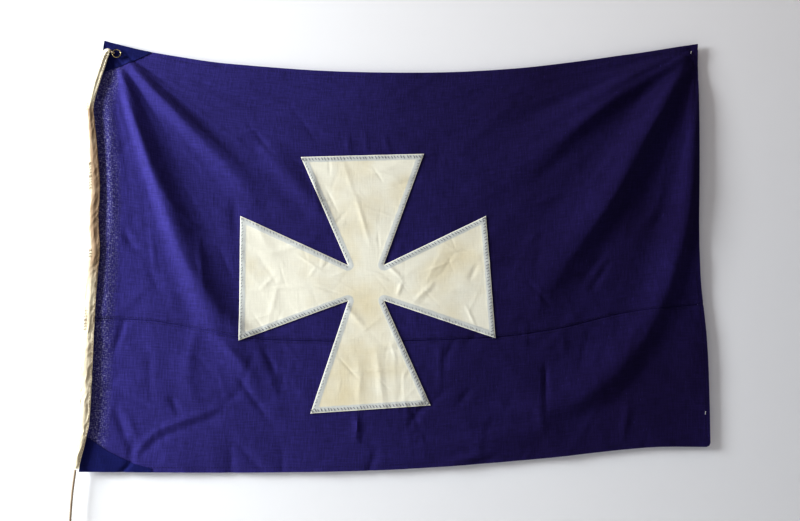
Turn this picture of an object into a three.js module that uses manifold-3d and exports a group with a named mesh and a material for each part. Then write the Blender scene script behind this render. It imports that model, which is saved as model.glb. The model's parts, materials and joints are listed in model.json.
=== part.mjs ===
// A hand-sewn wool bunting flag, hung by its two top corners: blue field in two breadths,
// white cross sewn over a window, canvas heading on a hoist rope, brass ring and rope tail.
// Millimetres, +X from hoist to fly, +Y away from the viewer, +Z up, origin at the ring's centre.

import * as THREE from 'three';
import { mergeVertices } from 'three/addons/utils/BufferGeometryUtils.js';
import Module from 'manifold-3d';

const wasm = await Module();
wasm.setup();

// ---------------------------------------------------------------- driving dimensions

const CLOTH = 0.8;               // thickness of one layer of bunting
const GAP = 0.3;                 // clearance between touching pieces
const LAYER = CLOTH + GAP;       // pitch of stacked layers
const THREAD = 0.4;              // thickness of a row of stitches
const CLOTH_FRONT = 7;           // front face of the unfolded blue cloth
const HEM = 12;                  // width of a turned hem
const FELL = 12;                 // width of the flat-felled seam
const STEP = 60;                 // spacing of points along a cloth edge
const CORNER_ROUND = 9;          // the lower fly corner

// Bounds that hold the whole flag, for outlines that only cut one side.
const LEFT = -100;
const RIGHT = 1360;
const LOW = -960;
const HIGH = 90;
const GRID = { left: -70, right: 1330, low: -930, high: 60, columns: 24, rows: 17 };

const TOP_EDGE = [[-28, 30], [72, 7], [250, -18], [560, -33], [870, -21], [1150, 17], [1316, 45]];
const SEAM = [[-60, -580], [84, -587], [198, -607], [290, -626], [554, -634], [832, -627], [973, -609],
  [1131, -574], [1310, -556]];
const BOTTOM_EDGE = [[-57, -902], [300, -910], [600, -909], [900, -893], [1165, -871], [1304, -872]];
const HOIST_EDGE = [[-902, -57], [-826, -49], [-692, -44], [-566, -41], [-435, -34], [-278, -36], [-172, -47],
  [-119, -54], [-56, -41], [30, -28]];
const FLY_EDGE = [[-872, 1304], [-726, 1307], [-620, 1306], [-476, 1298], [-207, 1307], [45, 1316]];

const HINGE_X = 110;             // where the field folds away from the hoist
const HINGE_GAP = 1.5;           // each panel's clearance from that line
const FLAT_REACH = 90;           // the folds fade out within this distance of it

const UPPER_PATCH = [[72, 60], [72, 4], [30, -18], [-42, -46], [-80, -46], [-80, 60]];
const LOWER_PATCH = [[-80, -828], [-45, -828], [0, -860], [53, -887], [92, -898], [92, -940], [-80, -940]];
const UPPER_TACK = [[1299, 24], 70];      // middle, and its slope in degrees
const LOWER_TACK = [[1296, -798], 80];

const CROSS_CENTRE = [546, -507];
const CROSS_NECK = 39.5;
const CROSS_ARMS = [
  { turn: 0, reach: 284, halfWidth: 137, shift: -6, tilt: 0.033 },
  { turn: -90, reach: 276, halfWidth: 136, shift: -13, tilt: 0.059 },
  { turn: 180, reach: 274, halfWidth: 130, shift: -9, tilt: 0.054 },
  { turn: 90, reach: 274, halfWidth: 136, shift: 12, tilt: 0 },
];
const CROSS_TURNING = 12;        // width turned under along the cross's edge
const STITCH_ROW = 1.5;          // width of a row of stitches
const STITCH_INSET = 9.5;        // from the cross's edge to the row

// Each fold: points along its crest, its height towards the viewer, its width at both ends.
const FOLDS = [
  { crest: [[5, -30], [50, -165], [100, -305], [170, -485], [235, -640]], height: 17, widths: [18, 75] },
  { crest: [[20, -15], [95, -100], [180, -185], [265, -270], [315, -345]], height: 10, widths: [14, 50] },
  { crest: [[315, -205], [400, -290], [475, -400]], height: 6, widths: [25, 30] },
  { crest: [[1300, 25], [1090, -95], [860, -290]], height: 8, widths: [14, 45] },
  { crest: [[1295, 5], [1205, -135], [1110, -295], [1005, -435], [885, -570]], height: 13, widths: [16, 60] },
  { crest: [[1308, -40], [1275, -225], [1245, -390], [1180, -575], [1085, -710], [900, -815], [630, -860]],
    height: 11, widths: [18, 50] },
];

const RING_RADIUS = 8.75;        // to the middle of the wire
const RING_WIRE = 1.25;
const EYE_ANGLE = 165;           // where the rope's eye holds the ring, degrees from +X
const EYE_STRAND = 1.6;
const EYE_SLACK = 0.4;           // between the eye and the ring's wire
const EYE_THROAT = [-12.8, 5.2]; // where the rope turns into its eye

const ROPE_RADIUS = 2.5;
const CHANNEL_RADIUS = 3.1;      // the room for the rope inside the heading
const HEADING_DEPTH = 8;
const HEADING_HALF_WIDTH = 12;   // where the heading lies flat
const HEADING_STATIONS = 30;
// Points down the heading: x, z and half its width there.
const HEADING = [[-14.5, 6, 5.5], [-20, 4.5, 6], [-26.5, -6, 6.5], [-32.5, -27, 7], [-43.5, -67, 7.5], [-53.5, -119, 7],
  [-49.5, -172, 9.5], [-43, -243, 11], [-39.5, -300, 12], [-40.5, -370, 12], [-36, -435, 12], [-40, -491, 12.5],
  [-42.5, -585, 11.5], [-45.5, -692, 12.5], [-46.5, -795, 10.5], [-51, -835, 8.5], [-62, -894, 6.5]];

const TAIL_CLEARANCE = 3.2;      // from the heading's end to the tail's pivot
// The tail's centre line, from its pivot below the heading to its knot.
const TAIL = [[-62.8, -897.2], [-64.4, -912], [-66.6, -932], [-68.4, -955], [-69.6, -980], [-70.4, -1005],
  [-71, -1030], [-71.6, -1055], [-72.4, -1080], [-73.2, -1105], [-73.8, -1130], [-74, -1155], [-74, -1180],
  [-73.6, -1197]];
const TAIL_STEPS = 24;
const KNOT_RADIUS = 7;
const KNOT_HEIGHT = 16;

const COLOURS = {
  bunting: 0x2b2868, patch: 0x24277a, crossCloth: 0xe6e2d2, crossTurning: 0xc9cdd6, thread: 0x6d7183,
  blueThread: 0x1c1a48, canvas: 0xe9e2cd, rope: 0xb49a72, brass: 0x9c8b66,
};

// ---------------------------------------------------------------- solids

function solidOf(geometry) {
  const bare = geometry.index ? geometry.toNonIndexed() : geometry.clone();
  bare.deleteAttribute('normal');
  bare.deleteAttribute('uv');
  const merged = mergeVertices(bare, 1e-4);
  return new wasm.Manifold(new wasm.Mesh({
    numProp: 3,
    vertProperties: new Float32Array(merged.attributes.position.array),
    triVerts: new Uint32Array(merged.index.array),
  }));
}

function geometryOf(solid) {
  const mesh = solid.getMesh();
  const geometry = new THREE.BufferGeometry();
  geometry.setAttribute('position', new THREE.BufferAttribute(mesh.vertProperties, 3));
  geometry.setIndex(new THREE.BufferAttribute(mesh.triVerts, 1));
  const faceted = geometry.toNonIndexed();
  faceted.computeVertexNormals();
  return faceted;
}

// ---------------------------------------------------------------- curves

// A smooth line through points sorted by their first number, as a function of that number.
function smoothLine(points) {
  const slope = points.map((_, i) => {
    const a = points[Math.max(i - 1, 0)];
    const b = points[Math.min(i + 1, points.length - 1)];
    return (b[1] - a[1]) / (b[0] - a[0]);
  });
  return (at) => {
    let i = 0;
    while (i < points.length - 2 && at > points[i + 1][0]) i += 1;
    const [x0, y0] = points[i];
    const [x1, y1] = points[i + 1];
    const span = x1 - x0;
    const t = THREE.MathUtils.clamp((at - x0) / span, 0, 1);
    const rise = t * t * (3 - 2 * t);
    return y0 + (y1 - y0) * rise + span * (t * (1 - t) ** 2 * slope[i] - t * t * (1 - t) * slope[i + 1]);
  };
}

const topEdge = smoothLine(TOP_EDGE);
const seam = smoothLine(SEAM);
const bottomEdge = smoothLine(BOTTOM_EDGE);
const hoistEdge = smoothLine(HOIST_EDGE);
const flyEdge = smoothLine(FLY_EDGE);

function steps(from, to) {
  const count = Math.max(1, Math.round(Math.abs(to - from) / STEP));
  return Array.from({ length: count + 1 }, (_, i) => from + (to - from) * i / count);
}

const across = (line, from, to, shift = 0) => steps(from, to).map((x) => [x, line(x) + shift]);
const down = (line, from, to, shift = 0) => steps(from, to).map((z) => [line(z) + shift, z]);

// ---------------------------------------------------------------- the folds

const crests = FOLDS.map(({ crest }) => {
  const curve = new THREE.SplineCurve(crest.map(([x, z]) => new THREE.Vector2(x, z)));
  return curve.getSpacedPoints(40);
});

function foldHeight(fold, crest, x, z) {
  let nearest = Infinity;
  let along = 0;
  crest.forEach((point, i) => {
    const distance = Math.hypot(point.x - x, point.y - z);
    if (distance < nearest) {
      nearest = distance;
      along = i / (crest.length - 1);
    }
  });
  const width = THREE.MathUtils.lerp(...fold.widths, along);
  const swell = Math.sin(Math.PI * along ** 0.7) ** 0.8;
  return fold.height * swell * Math.exp(-((nearest / width) ** 2));
}

// How far the blue cloth's front face stands along Y.
function relief(x, z) {
  const rise = FOLDS.reduce((sum, fold, i) => sum + foldHeight(fold, crests[i], x, z), 0);
  return CLOTH_FRONT - rise * THREE.MathUtils.smoothstep(Math.abs(x - HINGE_X), 0, FLAT_REACH);
}

// ---------------------------------------------------------------- cloth pieces

// A sheet over the whole flag, its front face a distance behind the blue cloth's front face.
function foldedSheet(behind, thickness) {
  const width = GRID.right - GRID.left;
  const height = GRID.high - GRID.low;
  const plane = new THREE.PlaneGeometry(width, height, GRID.columns, GRID.rows);
  plane.rotateX(Math.PI / 2);
  plane.translate((GRID.left + GRID.right) / 2, 0, (GRID.low + GRID.high) / 2);
  const grid = plane.attributes.position;
  const front = [];
  const rear = [];
  for (let i = 0; i < grid.count; i += 1) {
    const x = grid.getX(i);
    const z = grid.getZ(i);
    const y = relief(x, z) + behind;
    front.push(x, y, z);
    rear.push(x, y + thickness, z);
  }
  const faces = Array.from(plane.index.array);
  const rearFaces = faces.map((i) => i + grid.count).reverse();
  const sides = rimOf(GRID.columns, GRID.rows).flatMap((a, i, rim) => {
    const b = rim[(i + 1) % rim.length];
    return [a, b, b + grid.count, a, b + grid.count, a + grid.count];
  });
  const sheet = new THREE.BufferGeometry();
  sheet.setAttribute('position', new THREE.BufferAttribute(new Float32Array([...front, ...rear]), 3));
  sheet.setIndex([...faces, ...rearFaces, ...sides]);
  return solidOf(sheet);
}

// The grid's outer points in order: along the top, down, back along the bottom and up.
function rimOf(columns, rows) {
  const at = (row, column) => row * (columns + 1) + column;
  const rim = [];
  for (let c = 0; c < columns; c += 1) rim.push(at(0, c));
  for (let r = 0; r < rows; r += 1) rim.push(at(r, columns));
  for (let c = columns; c > 0; c -= 1) rim.push(at(rows, c));
  for (let r = rows; r > 0; r -= 1) rim.push(at(r, 0));
  return rim;
}

// An outline in x and z, drawn out along Y through every layer.
function prism(outline) {
  const depth = 120;
  const shape = new THREE.Shape(outline.map(([x, z]) => new THREE.Vector2(x, z)));
  const geometry = new THREE.ExtrudeGeometry(shape, { depth, bevelEnabled: false });
  geometry.rotateX(Math.PI / 2);
  geometry.translate(0, depth / 2, 0);
  return solidOf(geometry);
}

// One piece of cloth or one row of stitches: the folded sheet at its layer, kept inside every
// outline in `inside` and cut away inside every outline in `outside`.
function clothPiece({ behind = 0, thickness = CLOTH, inside, outside = [] }) {
  let solid = foldedSheet(behind, thickness);
  for (const outline of inside) solid = solid.intersect(prism(outline));
  for (const outline of outside) solid = solid.subtract(prism(outline));
  return geometryOf(solid);
}

// The outline moved inwards by a distance, its corners kept sharp.
function inset(outline, distance) {
  const area = THREE.ShapeUtils.area(outline.map(([x, y]) => ({ x, y })));
  const turn = Math.sign(area);
  const normal = (a, b) => {
    const length = Math.hypot(b[0] - a[0], b[1] - a[1]);
    return [-turn * (b[1] - a[1]) / length, turn * (b[0] - a[0]) / length];
  };
  return outline.map((point, i) => {
    const before = normal(outline.at(i - 1), point);
    const after = normal(point, outline[(i + 1) % outline.length]);
    const scale = distance / (1 + before[0] * after[0] + before[1] * after[1]);
    return [point[0] + (before[0] + after[0]) * scale, point[1] + (before[1] + after[1]) * scale];
  });
}

// ---------------------------------------------------------------- outlines

// The whole flag's outline, or one drawn inside it by `shrink` along the top, fly and bottom edges.
function flagOutline(shrink = 0) {
  const [lowZ, lowX] = FLY_EDGE[0];
  const [highZ, highX] = FLY_EDGE.at(-1);
  const round = CORNER_ROUND * (1 - Math.SQRT1_2);
  return [
    ...across(topEdge, TOP_EDGE[0][0], highX - shrink, -shrink),
    ...down(flyEdge, highZ - shrink - STEP, lowZ + shrink + CORNER_ROUND, -shrink),
    [lowX - shrink - round, lowZ + shrink + round],
    ...across(bottomEdge, lowX - shrink - CORNER_ROUND, BOTTOM_EDGE[0][0], shrink),
    ...down(hoistEdge, HOIST_EDGE[0][0] + STEP, HOIST_EDGE.at(-1)[0] - STEP / 2),
  ];
}

// Everything above or below a line, or between it and a second line.
const above = (line, shift = 0) => [...across(line, LEFT, RIGHT, shift), [RIGHT, HIGH], [LEFT, HIGH]];
const below = (line, shift = 0) => [...across(line, LEFT, RIGHT, shift), [RIGHT, LOW], [LEFT, LOW]];
const flyward = (shift) => [...down(flyEdge, LOW, HIGH, shift), [RIGHT, HIGH], [RIGHT, LOW]];
const hoistward = (shift) => [...down(flyEdge, LOW, HIGH, shift), [LEFT, HIGH], [LEFT, LOW]];
const box = (left, right) => [[left, LOW], [right, LOW], [right, HIGH], [left, HIGH]];

function crossOutline() {
  const [cx, cz] = CROSS_CENTRE;
  return CROSS_ARMS.flatMap(({ turn, reach, halfWidth, shift, tilt }) => {
    const angle = THREE.MathUtils.degToRad(turn);
    const place = (side, out) => [
      cx + side * Math.cos(angle) - out * Math.sin(angle),
      cz + side * Math.sin(angle) + out * Math.cos(angle),
    ];
    return [
      place(-CROSS_NECK, CROSS_NECK),
      place(shift - halfWidth, reach - halfWidth * tilt),
      place(shift + halfWidth, reach + halfWidth * tilt),
    ];
  });
}

function tackOutline([x, z], angle) {
  const turned = new THREE.Vector2();
  return [[-4, -1.2], [4, -1.2], [4, 1.2], [-4, 1.2]].map(([along, side]) => {
    turned.set(along, side).rotateAround(new THREE.Vector2(), THREE.MathUtils.degToRad(angle));
    return [x + turned.x, z + turned.y];
  });
}

const flag = flagOutline();
const cross = crossOutline();
const window = inset(cross, CROSS_TURNING);
const margin = box(LEFT, HINGE_X - HINGE_GAP);
const field = box(HINGE_X + HINGE_GAP, RIGHT);

// ---------------------------------------------------------------- pieces on a centre line

// Bends a straight extrusion (along Z, from 0 to 1) onto a line that lies in the X-Z plane.
function bend(geometry, curve, sideScale) {
  const position = geometry.attributes.position;
  for (let i = 0; i < position.count; i += 1) {
    const along = THREE.MathUtils.clamp(position.getZ(i), 0, 1);
    const centre = curve.getPointAt(along);
    const tangent = curve.getTangentAt(along);
    const side = position.getX(i) * sideScale(along, position.getX(i));
    position.setXYZ(i, centre.x + tangent.z * side, position.getY(i), centre.z - tangent.x * side);
  }
  return geometry;
}

function ngon(radius, sides = 8) {
  return Array.from({ length: sides }, (_, i) => {
    const angle = (i + 0.5) * 2 * Math.PI / sides;
    return new THREE.Vector2(radius * Math.cos(angle), radius * Math.sin(angle));
  });
}

const headingCurve = new THREE.CatmullRomCurve3(HEADING.map(([x, z]) => new THREE.Vector3(x, 0, z)));

// Half the heading's width as a function of the distance along it, from 0 to 1.
const headingHalfWidth = (() => {
  let walked = 0;
  const widths = HEADING.map(([x, z, half], i) => {
    const [lastX, lastZ] = HEADING[Math.max(i - 1, 0)];
    walked += Math.hypot(x - lastX, z - lastZ);
    return [walked, half];
  });
  return smoothLine(widths.map(([distance, half]) => [distance / walked, half]));
})();

function alongHeading(outline, hole, sideScale) {
  const shape = new THREE.Shape(outline);
  if (hole) shape.holes.push(new THREE.Path(hole));
  const geometry = new THREE.ExtrudeGeometry(shape, { depth: 1, steps: HEADING_STATIONS, bevelEnabled: false });
  return bend(geometry, headingCurve, sideScale);
}

// The canvas folded round the rope: flat at the back, with the rope's channel through it.
function headingSleeve() {
  const w = HEADING_HALF_WIDTH;
  const d = HEADING_DEPTH / 2;
  const outline = [[w, 0], [w * 0.8, -d], [-w * 0.85, -d], [-w, -d / 3], [-w, d / 3], [-w * 0.85, d], [w * 0.8, d]];
  const narrowing = (along, side) => (Math.abs(side) > CHANNEL_RADIUS ? headingHalfWidth(along) / w : 1);
  const points = outline.map(([side, y]) => new THREE.Vector2(side, y));
  return geometryOf(solidOf(alongHeading(points, ngon(CHANNEL_RADIUS), narrowing)));
}

// The row that closes the heading over the bunting, along its inner side.
function headingStitchRow() {
  const middle = -HEADING_HALF_WIDTH * 0.7;
  const front = -HEADING_DEPTH / 2 - GAP;
  const half = STITCH_ROW / 2;
  const outline = [[-half, front - THREAD], [half, front - THREAD], [half, front], [-half, front]];
  const points = outline.map(([side, y]) => new THREE.Vector2(middle + side, y));
  const follow = (along) => headingHalfWidth(along) / HEADING_HALF_WIDTH;
  return geometryOf(solidOf(alongHeading(points, null, follow)));
}

// The rope inside the heading, its upper end spliced into an eye round the ring's wire.
function hoistRope() {
  const rope = solidOf(alongHeading(ngon(ROPE_RADIUS), null, () => 1));
  const angle = THREE.MathUtils.degToRad(EYE_ANGLE);
  const eye = new THREE.TorusGeometry(RING_WIRE + EYE_SLACK + EYE_STRAND, EYE_STRAND, 8, 16);
  eye.rotateY(Math.PI - angle);
  eye.translate(RING_RADIUS * Math.cos(angle), 0, RING_RADIUS * Math.sin(angle));
  const throat = new THREE.SphereGeometry(ROPE_RADIUS * 0.95, 8, 6);
  throat.translate(EYE_THROAT[0], 0, EYE_THROAT[1]);
  return geometryOf(rope.add(solidOf(throat)).add(solidOf(eye)));
}

function brassRing() {
  const ring = new THREE.TorusGeometry(RING_RADIUS, RING_WIRE, 8, 24);
  ring.rotateX(Math.PI / 2);
  return geometryOf(solidOf(ring));
}

function halyardTail() {
  const curve = new THREE.CatmullRomCurve3(TAIL.map(([x, z]) => new THREE.Vector3(x, 0, z)));
  const shape = new THREE.Shape(ngon(ROPE_RADIUS));
  const tube = new THREE.ExtrudeGeometry(shape, { steps: TAIL_STEPS, extrudePath: curve, bevelEnabled: false });
  const rounding = new THREE.SphereGeometry(ROPE_RADIUS, 8, 6);
  rounding.translate(TAIL[0][0], 0, TAIL[0][1]);
  return geometryOf(solidOf(tube).add(solidOf(rounding)));
}

function tailKnot() {
  const knot = new THREE.SphereGeometry(1, 12, 8);
  knot.scale(KNOT_RADIUS, KNOT_RADIUS, KNOT_HEIGHT / 2);
  const [x, z] = TAIL.at(-1);
  knot.translate(x, 0, z - GAP - KNOT_HEIGHT / 2);
  return geometryOf(solidOf(knot));
}

// ---------------------------------------------------------------- the assembly

function finish(colour, roughness, metalness = 0) {
  return new THREE.MeshStandardMaterial({ color: colour, roughness, metalness });
}

const bunting = finish(COLOURS.bunting, 0.92);
const crossCloth = finish(COLOURS.crossCloth, 0.9);
const thread = finish(COLOURS.thread, 0.85);
const blueThread = finish(COLOURS.blueThread, 0.85);
const canvas = finish(COLOURS.canvas, 0.88);
const rope = finish(COLOURS.rope, 0.9);

function bodyOf(pieces) {
  const body = new THREE.Group();
  for (const [name, geometry, material] of pieces) {
    const mesh = new THREE.Mesh(geometry, material);
    mesh.name = name;
    body.add(mesh);
  }
  return body;
}

const nearWindow = inset(cross, CROSS_TURNING - GAP);
const fellBand = [above(seam, -FELL / 2), below(seam, FELL / 2), flag];
const HEM_ROW = HEM - 2;

const hoist = bodyOf([
  ['hoist_rope', hoistRope(), rope],
  ['hoist_heading', headingSleeve(), canvas],
  ['heading_stitching', headingStitchRow(), thread],
  ['upper_breadth_margin', clothPiece({ inside: [flag, margin, above(seam, GAP / 2)] }), bunting],
  ['lower_breadth_margin', clothPiece({ inside: [flag, margin, below(seam, -GAP / 2)] }), bunting],
  ['margin_seam_fell', clothPiece({ behind: 2 * LAYER, inside: [...fellBand, margin] }), bunting],
  ['upper_corner_patch', clothPiece({ behind: -LAYER, inside: [flag, UPPER_PATCH] }), finish(COLOURS.patch, 0.9)],
  ['lower_corner_patch', clothPiece({ behind: -LAYER, inside: [flag, LOWER_PATCH] }), finish(COLOURS.patch, 0.9)],
]);

const fieldBody = bodyOf([
  ['upper_breadth', clothPiece({ inside: [flag, field, above(seam, GAP / 2)], outside: [window] }), bunting],
  ['lower_breadth', clothPiece({ inside: [flag, field, below(seam, -GAP / 2)], outside: [window] }), bunting],
  ['seam_fell_hoist_side', clothPiece({
    behind: 2 * LAYER, inside: [...fellBand, field, box(LEFT, CROSS_CENTRE[0])], outside: [nearWindow],
  }), bunting],
  ['seam_fell_fly_side', clothPiece({
    behind: 2 * LAYER, inside: [...fellBand, box(CROSS_CENTRE[0], RIGHT), hoistward(-HEM - 1)], outside: [nearWindow],
  }), bunting],
  ['top_hem', clothPiece({ behind: LAYER, inside: [flag, field, above(topEdge, -HEM)] }), bunting],
  ['bottom_hem', clothPiece({ behind: LAYER, inside: [flag, field, below(bottomEdge, HEM)] }), bunting],
  ['fly_hem', clothPiece({
    behind: LAYER, inside: [flag, flyward(-HEM), below(topEdge, -HEM - GAP), above(bottomEdge, HEM + GAP)],
  }), bunting],
  ['hem_stitching', clothPiece({
    behind: 2 * LAYER,
    thickness: THREAD,
    inside: [flagOutline(HEM_ROW), field],
    outside: [flagOutline(HEM_ROW + STITCH_ROW)],
  }), blueThread],
  ['cross_applique', clothPiece({ behind: -2 * LAYER, inside: [cross] }), crossCloth],
  ['cross_turned_edge', clothPiece({ behind: -LAYER, inside: [inset(cross, 1)], outside: [window] }),
    finish(COLOURS.crossTurning, 0.9)],
  ['cross_edge_stitching', clothPiece({
    behind: -2 * LAYER - GAP - THREAD,
    thickness: THREAD,
    inside: [inset(cross, STITCH_INSET)],
    outside: [inset(cross, STITCH_INSET + STITCH_ROW)],
  }), thread],
  ['window_turning', clothPiece({ behind: LAYER, inside: [inset(cross, 2)], outside: [window] }), bunting],
  ['upper_fly_tack', clothPiece({ behind: -LAYER, inside: [tackOutline(...UPPER_TACK)] }), crossCloth],
  ['lower_fly_tack', clothPiece({ behind: -LAYER, inside: [tackOutline(...LOWER_TACK)] }), crossCloth],
]);

const group = new THREE.Group();
group.add(hoist, fieldBody);
group.add(bodyOf([['brass_ring', brassRing(), finish(COLOURS.brass, 0.4, 1)]]));
group.add(bodyOf([['halyard_tail', halyardTail(), rope], ['tail_knot', tailKnot(), rope]]));

export default group;
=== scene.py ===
"""A hand-sewn wool bunting flag, hung by its two top corners against a pale wall.

Metres, +X from hoist to fly, +Y away from the viewer, +Z up, origin at the brass ring's centre.
"""

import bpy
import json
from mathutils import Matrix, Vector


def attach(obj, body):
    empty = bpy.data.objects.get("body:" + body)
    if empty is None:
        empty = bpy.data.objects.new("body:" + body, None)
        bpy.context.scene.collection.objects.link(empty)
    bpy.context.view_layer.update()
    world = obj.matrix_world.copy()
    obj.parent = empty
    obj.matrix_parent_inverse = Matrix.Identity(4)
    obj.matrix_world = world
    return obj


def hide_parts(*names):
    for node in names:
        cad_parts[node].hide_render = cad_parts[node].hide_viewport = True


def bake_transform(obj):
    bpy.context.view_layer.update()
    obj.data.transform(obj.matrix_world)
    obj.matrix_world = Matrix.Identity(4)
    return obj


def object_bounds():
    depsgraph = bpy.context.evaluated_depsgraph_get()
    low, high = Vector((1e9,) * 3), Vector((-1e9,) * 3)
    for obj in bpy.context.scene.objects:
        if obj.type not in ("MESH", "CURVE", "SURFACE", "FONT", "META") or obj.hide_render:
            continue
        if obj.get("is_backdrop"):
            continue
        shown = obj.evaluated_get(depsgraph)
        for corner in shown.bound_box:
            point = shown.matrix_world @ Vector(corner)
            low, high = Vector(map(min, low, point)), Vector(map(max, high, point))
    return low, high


bl_info = {
    "name": "Bunting Flag",
    "version": (1, 0, 0),
    "blender": (4, 5, 0),
    "location": "3D View > Sidebar > Flag",
    "description": "Builds a hung bunting flag with an inset cross, heading, ring and rope tail",
    "category": "Object",
}

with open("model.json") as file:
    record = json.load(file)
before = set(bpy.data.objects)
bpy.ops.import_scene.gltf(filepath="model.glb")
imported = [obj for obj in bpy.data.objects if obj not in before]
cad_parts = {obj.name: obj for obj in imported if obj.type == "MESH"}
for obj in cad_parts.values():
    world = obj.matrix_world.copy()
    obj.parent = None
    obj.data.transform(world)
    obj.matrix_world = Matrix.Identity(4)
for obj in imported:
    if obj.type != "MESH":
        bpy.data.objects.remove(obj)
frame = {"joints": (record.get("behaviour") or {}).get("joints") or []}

import functools
import json
import math

import bmesh
import bpy
import numpy as np
from mathutils import Matrix, Vector, noise
from mathutils.geometry import delaunay_2d_cdt
from mathutils.kdtree import KDTree

CAD_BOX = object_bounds()
MM = 0.001

# ---------------------------------------------------------------- the flag's lines, in millimetres

FLAT = (1372, 914)  # the flag's length and height before it was hung
CLOTH_FRONT = 7.0  # the unfolded blue cloth's front face
LAYER = 1.1  # pitch of stacked layers of cloth
HEM = 12.0
FELL = 12.0
SEAM_GAP = 0.8  # between each breadth's edge and the seam's line
GROOVE = (1.3, 1.8)  # the seam's depth and the width of each of its flanks
PAST_FLY = 1330.0  # somewhere past the fly, where a strip is cut off by the flag's outline
HEM_THREAD = (0.38, 0.36)  # the hem stitches' radius at the back and at the front

TOP_EDGE = [(-28, 30), (72, 7), (250, -18), (560, -33), (870, -21), (1150, 17), (1316, 45)]
SEAM = [(-60, -580), (84, -587), (198, -607), (290, -626), (554, -634), (832, -627), (973, -609),
        (1131, -574), (1310, -556)]
BOTTOM_EDGE = [(-57, -902), (300, -910), (600, -909), (900, -893), (1165, -871), (1304, -872)]
HOIST_EDGE = [(-902, -57), (-826, -49), (-692, -44), (-566, -41), (-435, -34), (-278, -36),
              (-172, -47), (-119, -54), (-56, -41), (30, -28)]
FLY_EDGE = [(-872, 1304), (-726, 1307), (-620, 1306), (-476, 1298), (-207, 1307), (45, 1316)]
CORNER_ROUND = 9.0
EDGE_STEP = 6.0  # spacing of points along a cut edge

UPPER_PATCH = [(72, 60), (72, 4), (30, -18), (-42, -46), (-80, -46), (-80, 60)]
LOWER_PATCH = [(-80, -828), (-45, -828), (0, -860), (53, -887), (92, -898), (92, -940), (-80, -940)]
TACKS = {"upper_fly_tack": ((1299, 24), 70), "lower_fly_tack": ((1296, -798), 80)}

CROSS_CENTRE = (546, -507)
CROSS_NECK = 39.5
# Each arm: its turn, its reach, half its end's width, its sideways shift, the slope of its end.
CROSS_ARMS = [(0, 284, 137, -6, 0.033), (-90, 276, 136, -13, 0.059), (180, 274, 130, -9, 0.054),
              (90, 274, 136, 12, 0.0)]
CROSS_TURNING = 12.0
WINDOW_LAP = 9.0  # how far the blue cloth goes under the cross
TIGHT_SIDES = (1, 3, 4, 6, 7, 9)  # the sides whose stitches are drawn tight, clockwise from the top arm
WHIP_THREAD = (0.62, 0.34)  # the whip stitches' radius on tight sides and on loose ones

# Points down the heading: x, z and half its width there.
HEADING = [(-14.5, 6, 4.5), (-20, 4.5, 8), (-26.5, -6, 9.5), (-32.5, -27, 10), (-43.5, -67, 9.5),
           (-53.5, -119, 8), (-49.5, -172, 9.5), (-43, -243, 11), (-39.5, -300, 12),
           (-40.5, -370, 12), (-36, -435, 12), (-40, -491, 12.5), (-42.5, -585, 11.5),
           (-45.5, -692, 12.5), (-46.5, -795, 10.5), (-51, -835, 8.5), (-62, -894, 6.5)]

RING_RADIUS = 8.75
RING_WIRE = 1.25
EYE_ANGLE = 165.0
EYE_STRAND = 1.6
EYE_SLACK = 0.4
EYE_SEAT = (-14.2, 5.5)  # where the eye is whipped to the rope
HEADING_DEPTH = (-8.5, 5.6)  # how far the canvas may stand to the front and to the back
CANVAS = 0.9
STITCH_ROW = 0.78  # where the heading's running stitches lie, as a share of half its width
# Heights between which the heading's outer edge is overcast.
OVERCAST = [(-605, -565), (-450, -430), (-300, -243), (-128, -112)]

ROPE_RADIUS = 2.5
TAIL = [(-62.8, -897.2), (-64.4, -912), (-66.6, -932), (-68.4, -955), (-69.6, -980), (-70.4, -1005),
        (-71, -1030), (-71.6, -1055), (-72.4, -1080), (-73.2, -1105), (-73.8, -1130), (-74, -1155),
        (-74, -1180), (-73.6, -1197)]
KNOT_HEIGHT = 16.0

# Where the field folds away from the hoist.
HINGE = next(j for j in frame["joints"] if j["name"] == "field_swing")["pos_m"]

# ---------------------------------------------------------------- the stage, in metres

CAMERA_PLACE = (0.4854, -1.9341, -0.6623)
CAMERA_TURN = (4.0, 6.0, -0.5)  # azimuth, elevation and roll, in degrees
CAMERA_LENS = 40
FLOOR_HEIGHT = -1.45
FLOOR = [(x, y, FLOOR_HEIGHT) for x, y in ((-4, -4), (5, -4), (5, 4), (-4, 4))]
WALL_PLACE = 0.0175
WALL = [(x, WALL_PLACE, z) for x, z in ((-1.3, FLOOR_HEIGHT), (2.7, FLOOR_HEIGHT), (2.7, 1.2), (-1.3, 1.2))]
# Each light's name, place, target, size, power and tint.
LIGHTS = [
    ("window_light", (-2.8, -1.13, 0.5), (0.45, 0.0, -0.5), (1.0, 1.6), 207, (0.88, 0.94, 1.0)),
    ("room_light", (2.1, -2.6, 0.9), (0.55, 0.0, -0.45), (1.6, 1.6), 4.5, (1.0, 0.84, 0.72)),
    ("top_light", (0.6, -0.6, 1.7), (0.6, 0.0, -0.4), (1.8, 0.8), 6, (1.0, 0.78, 0.62)),
    ("low_light", (1.3, -2.0, -1.2), (0.9, 0.0, -0.8), (1.4, 0.8), 2, (0.5, 0.68, 1.0)),
    ("rear_light", (0.1, 3.0, 0.3), (0.6, 0.0, -0.5), (2.4, 1.8), 60, (1.0, 0.98, 0.95)),
]
# The room looks pale, but lights the flag only a little: the shade and strength of each.
ROOM_LIGHT = ("#DFE4F2", 0.17)
ROOM_SIGHT = ("#E6E6E8", 0.9)

# ---------------------------------------------------------------- folds, in millimetres

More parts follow.
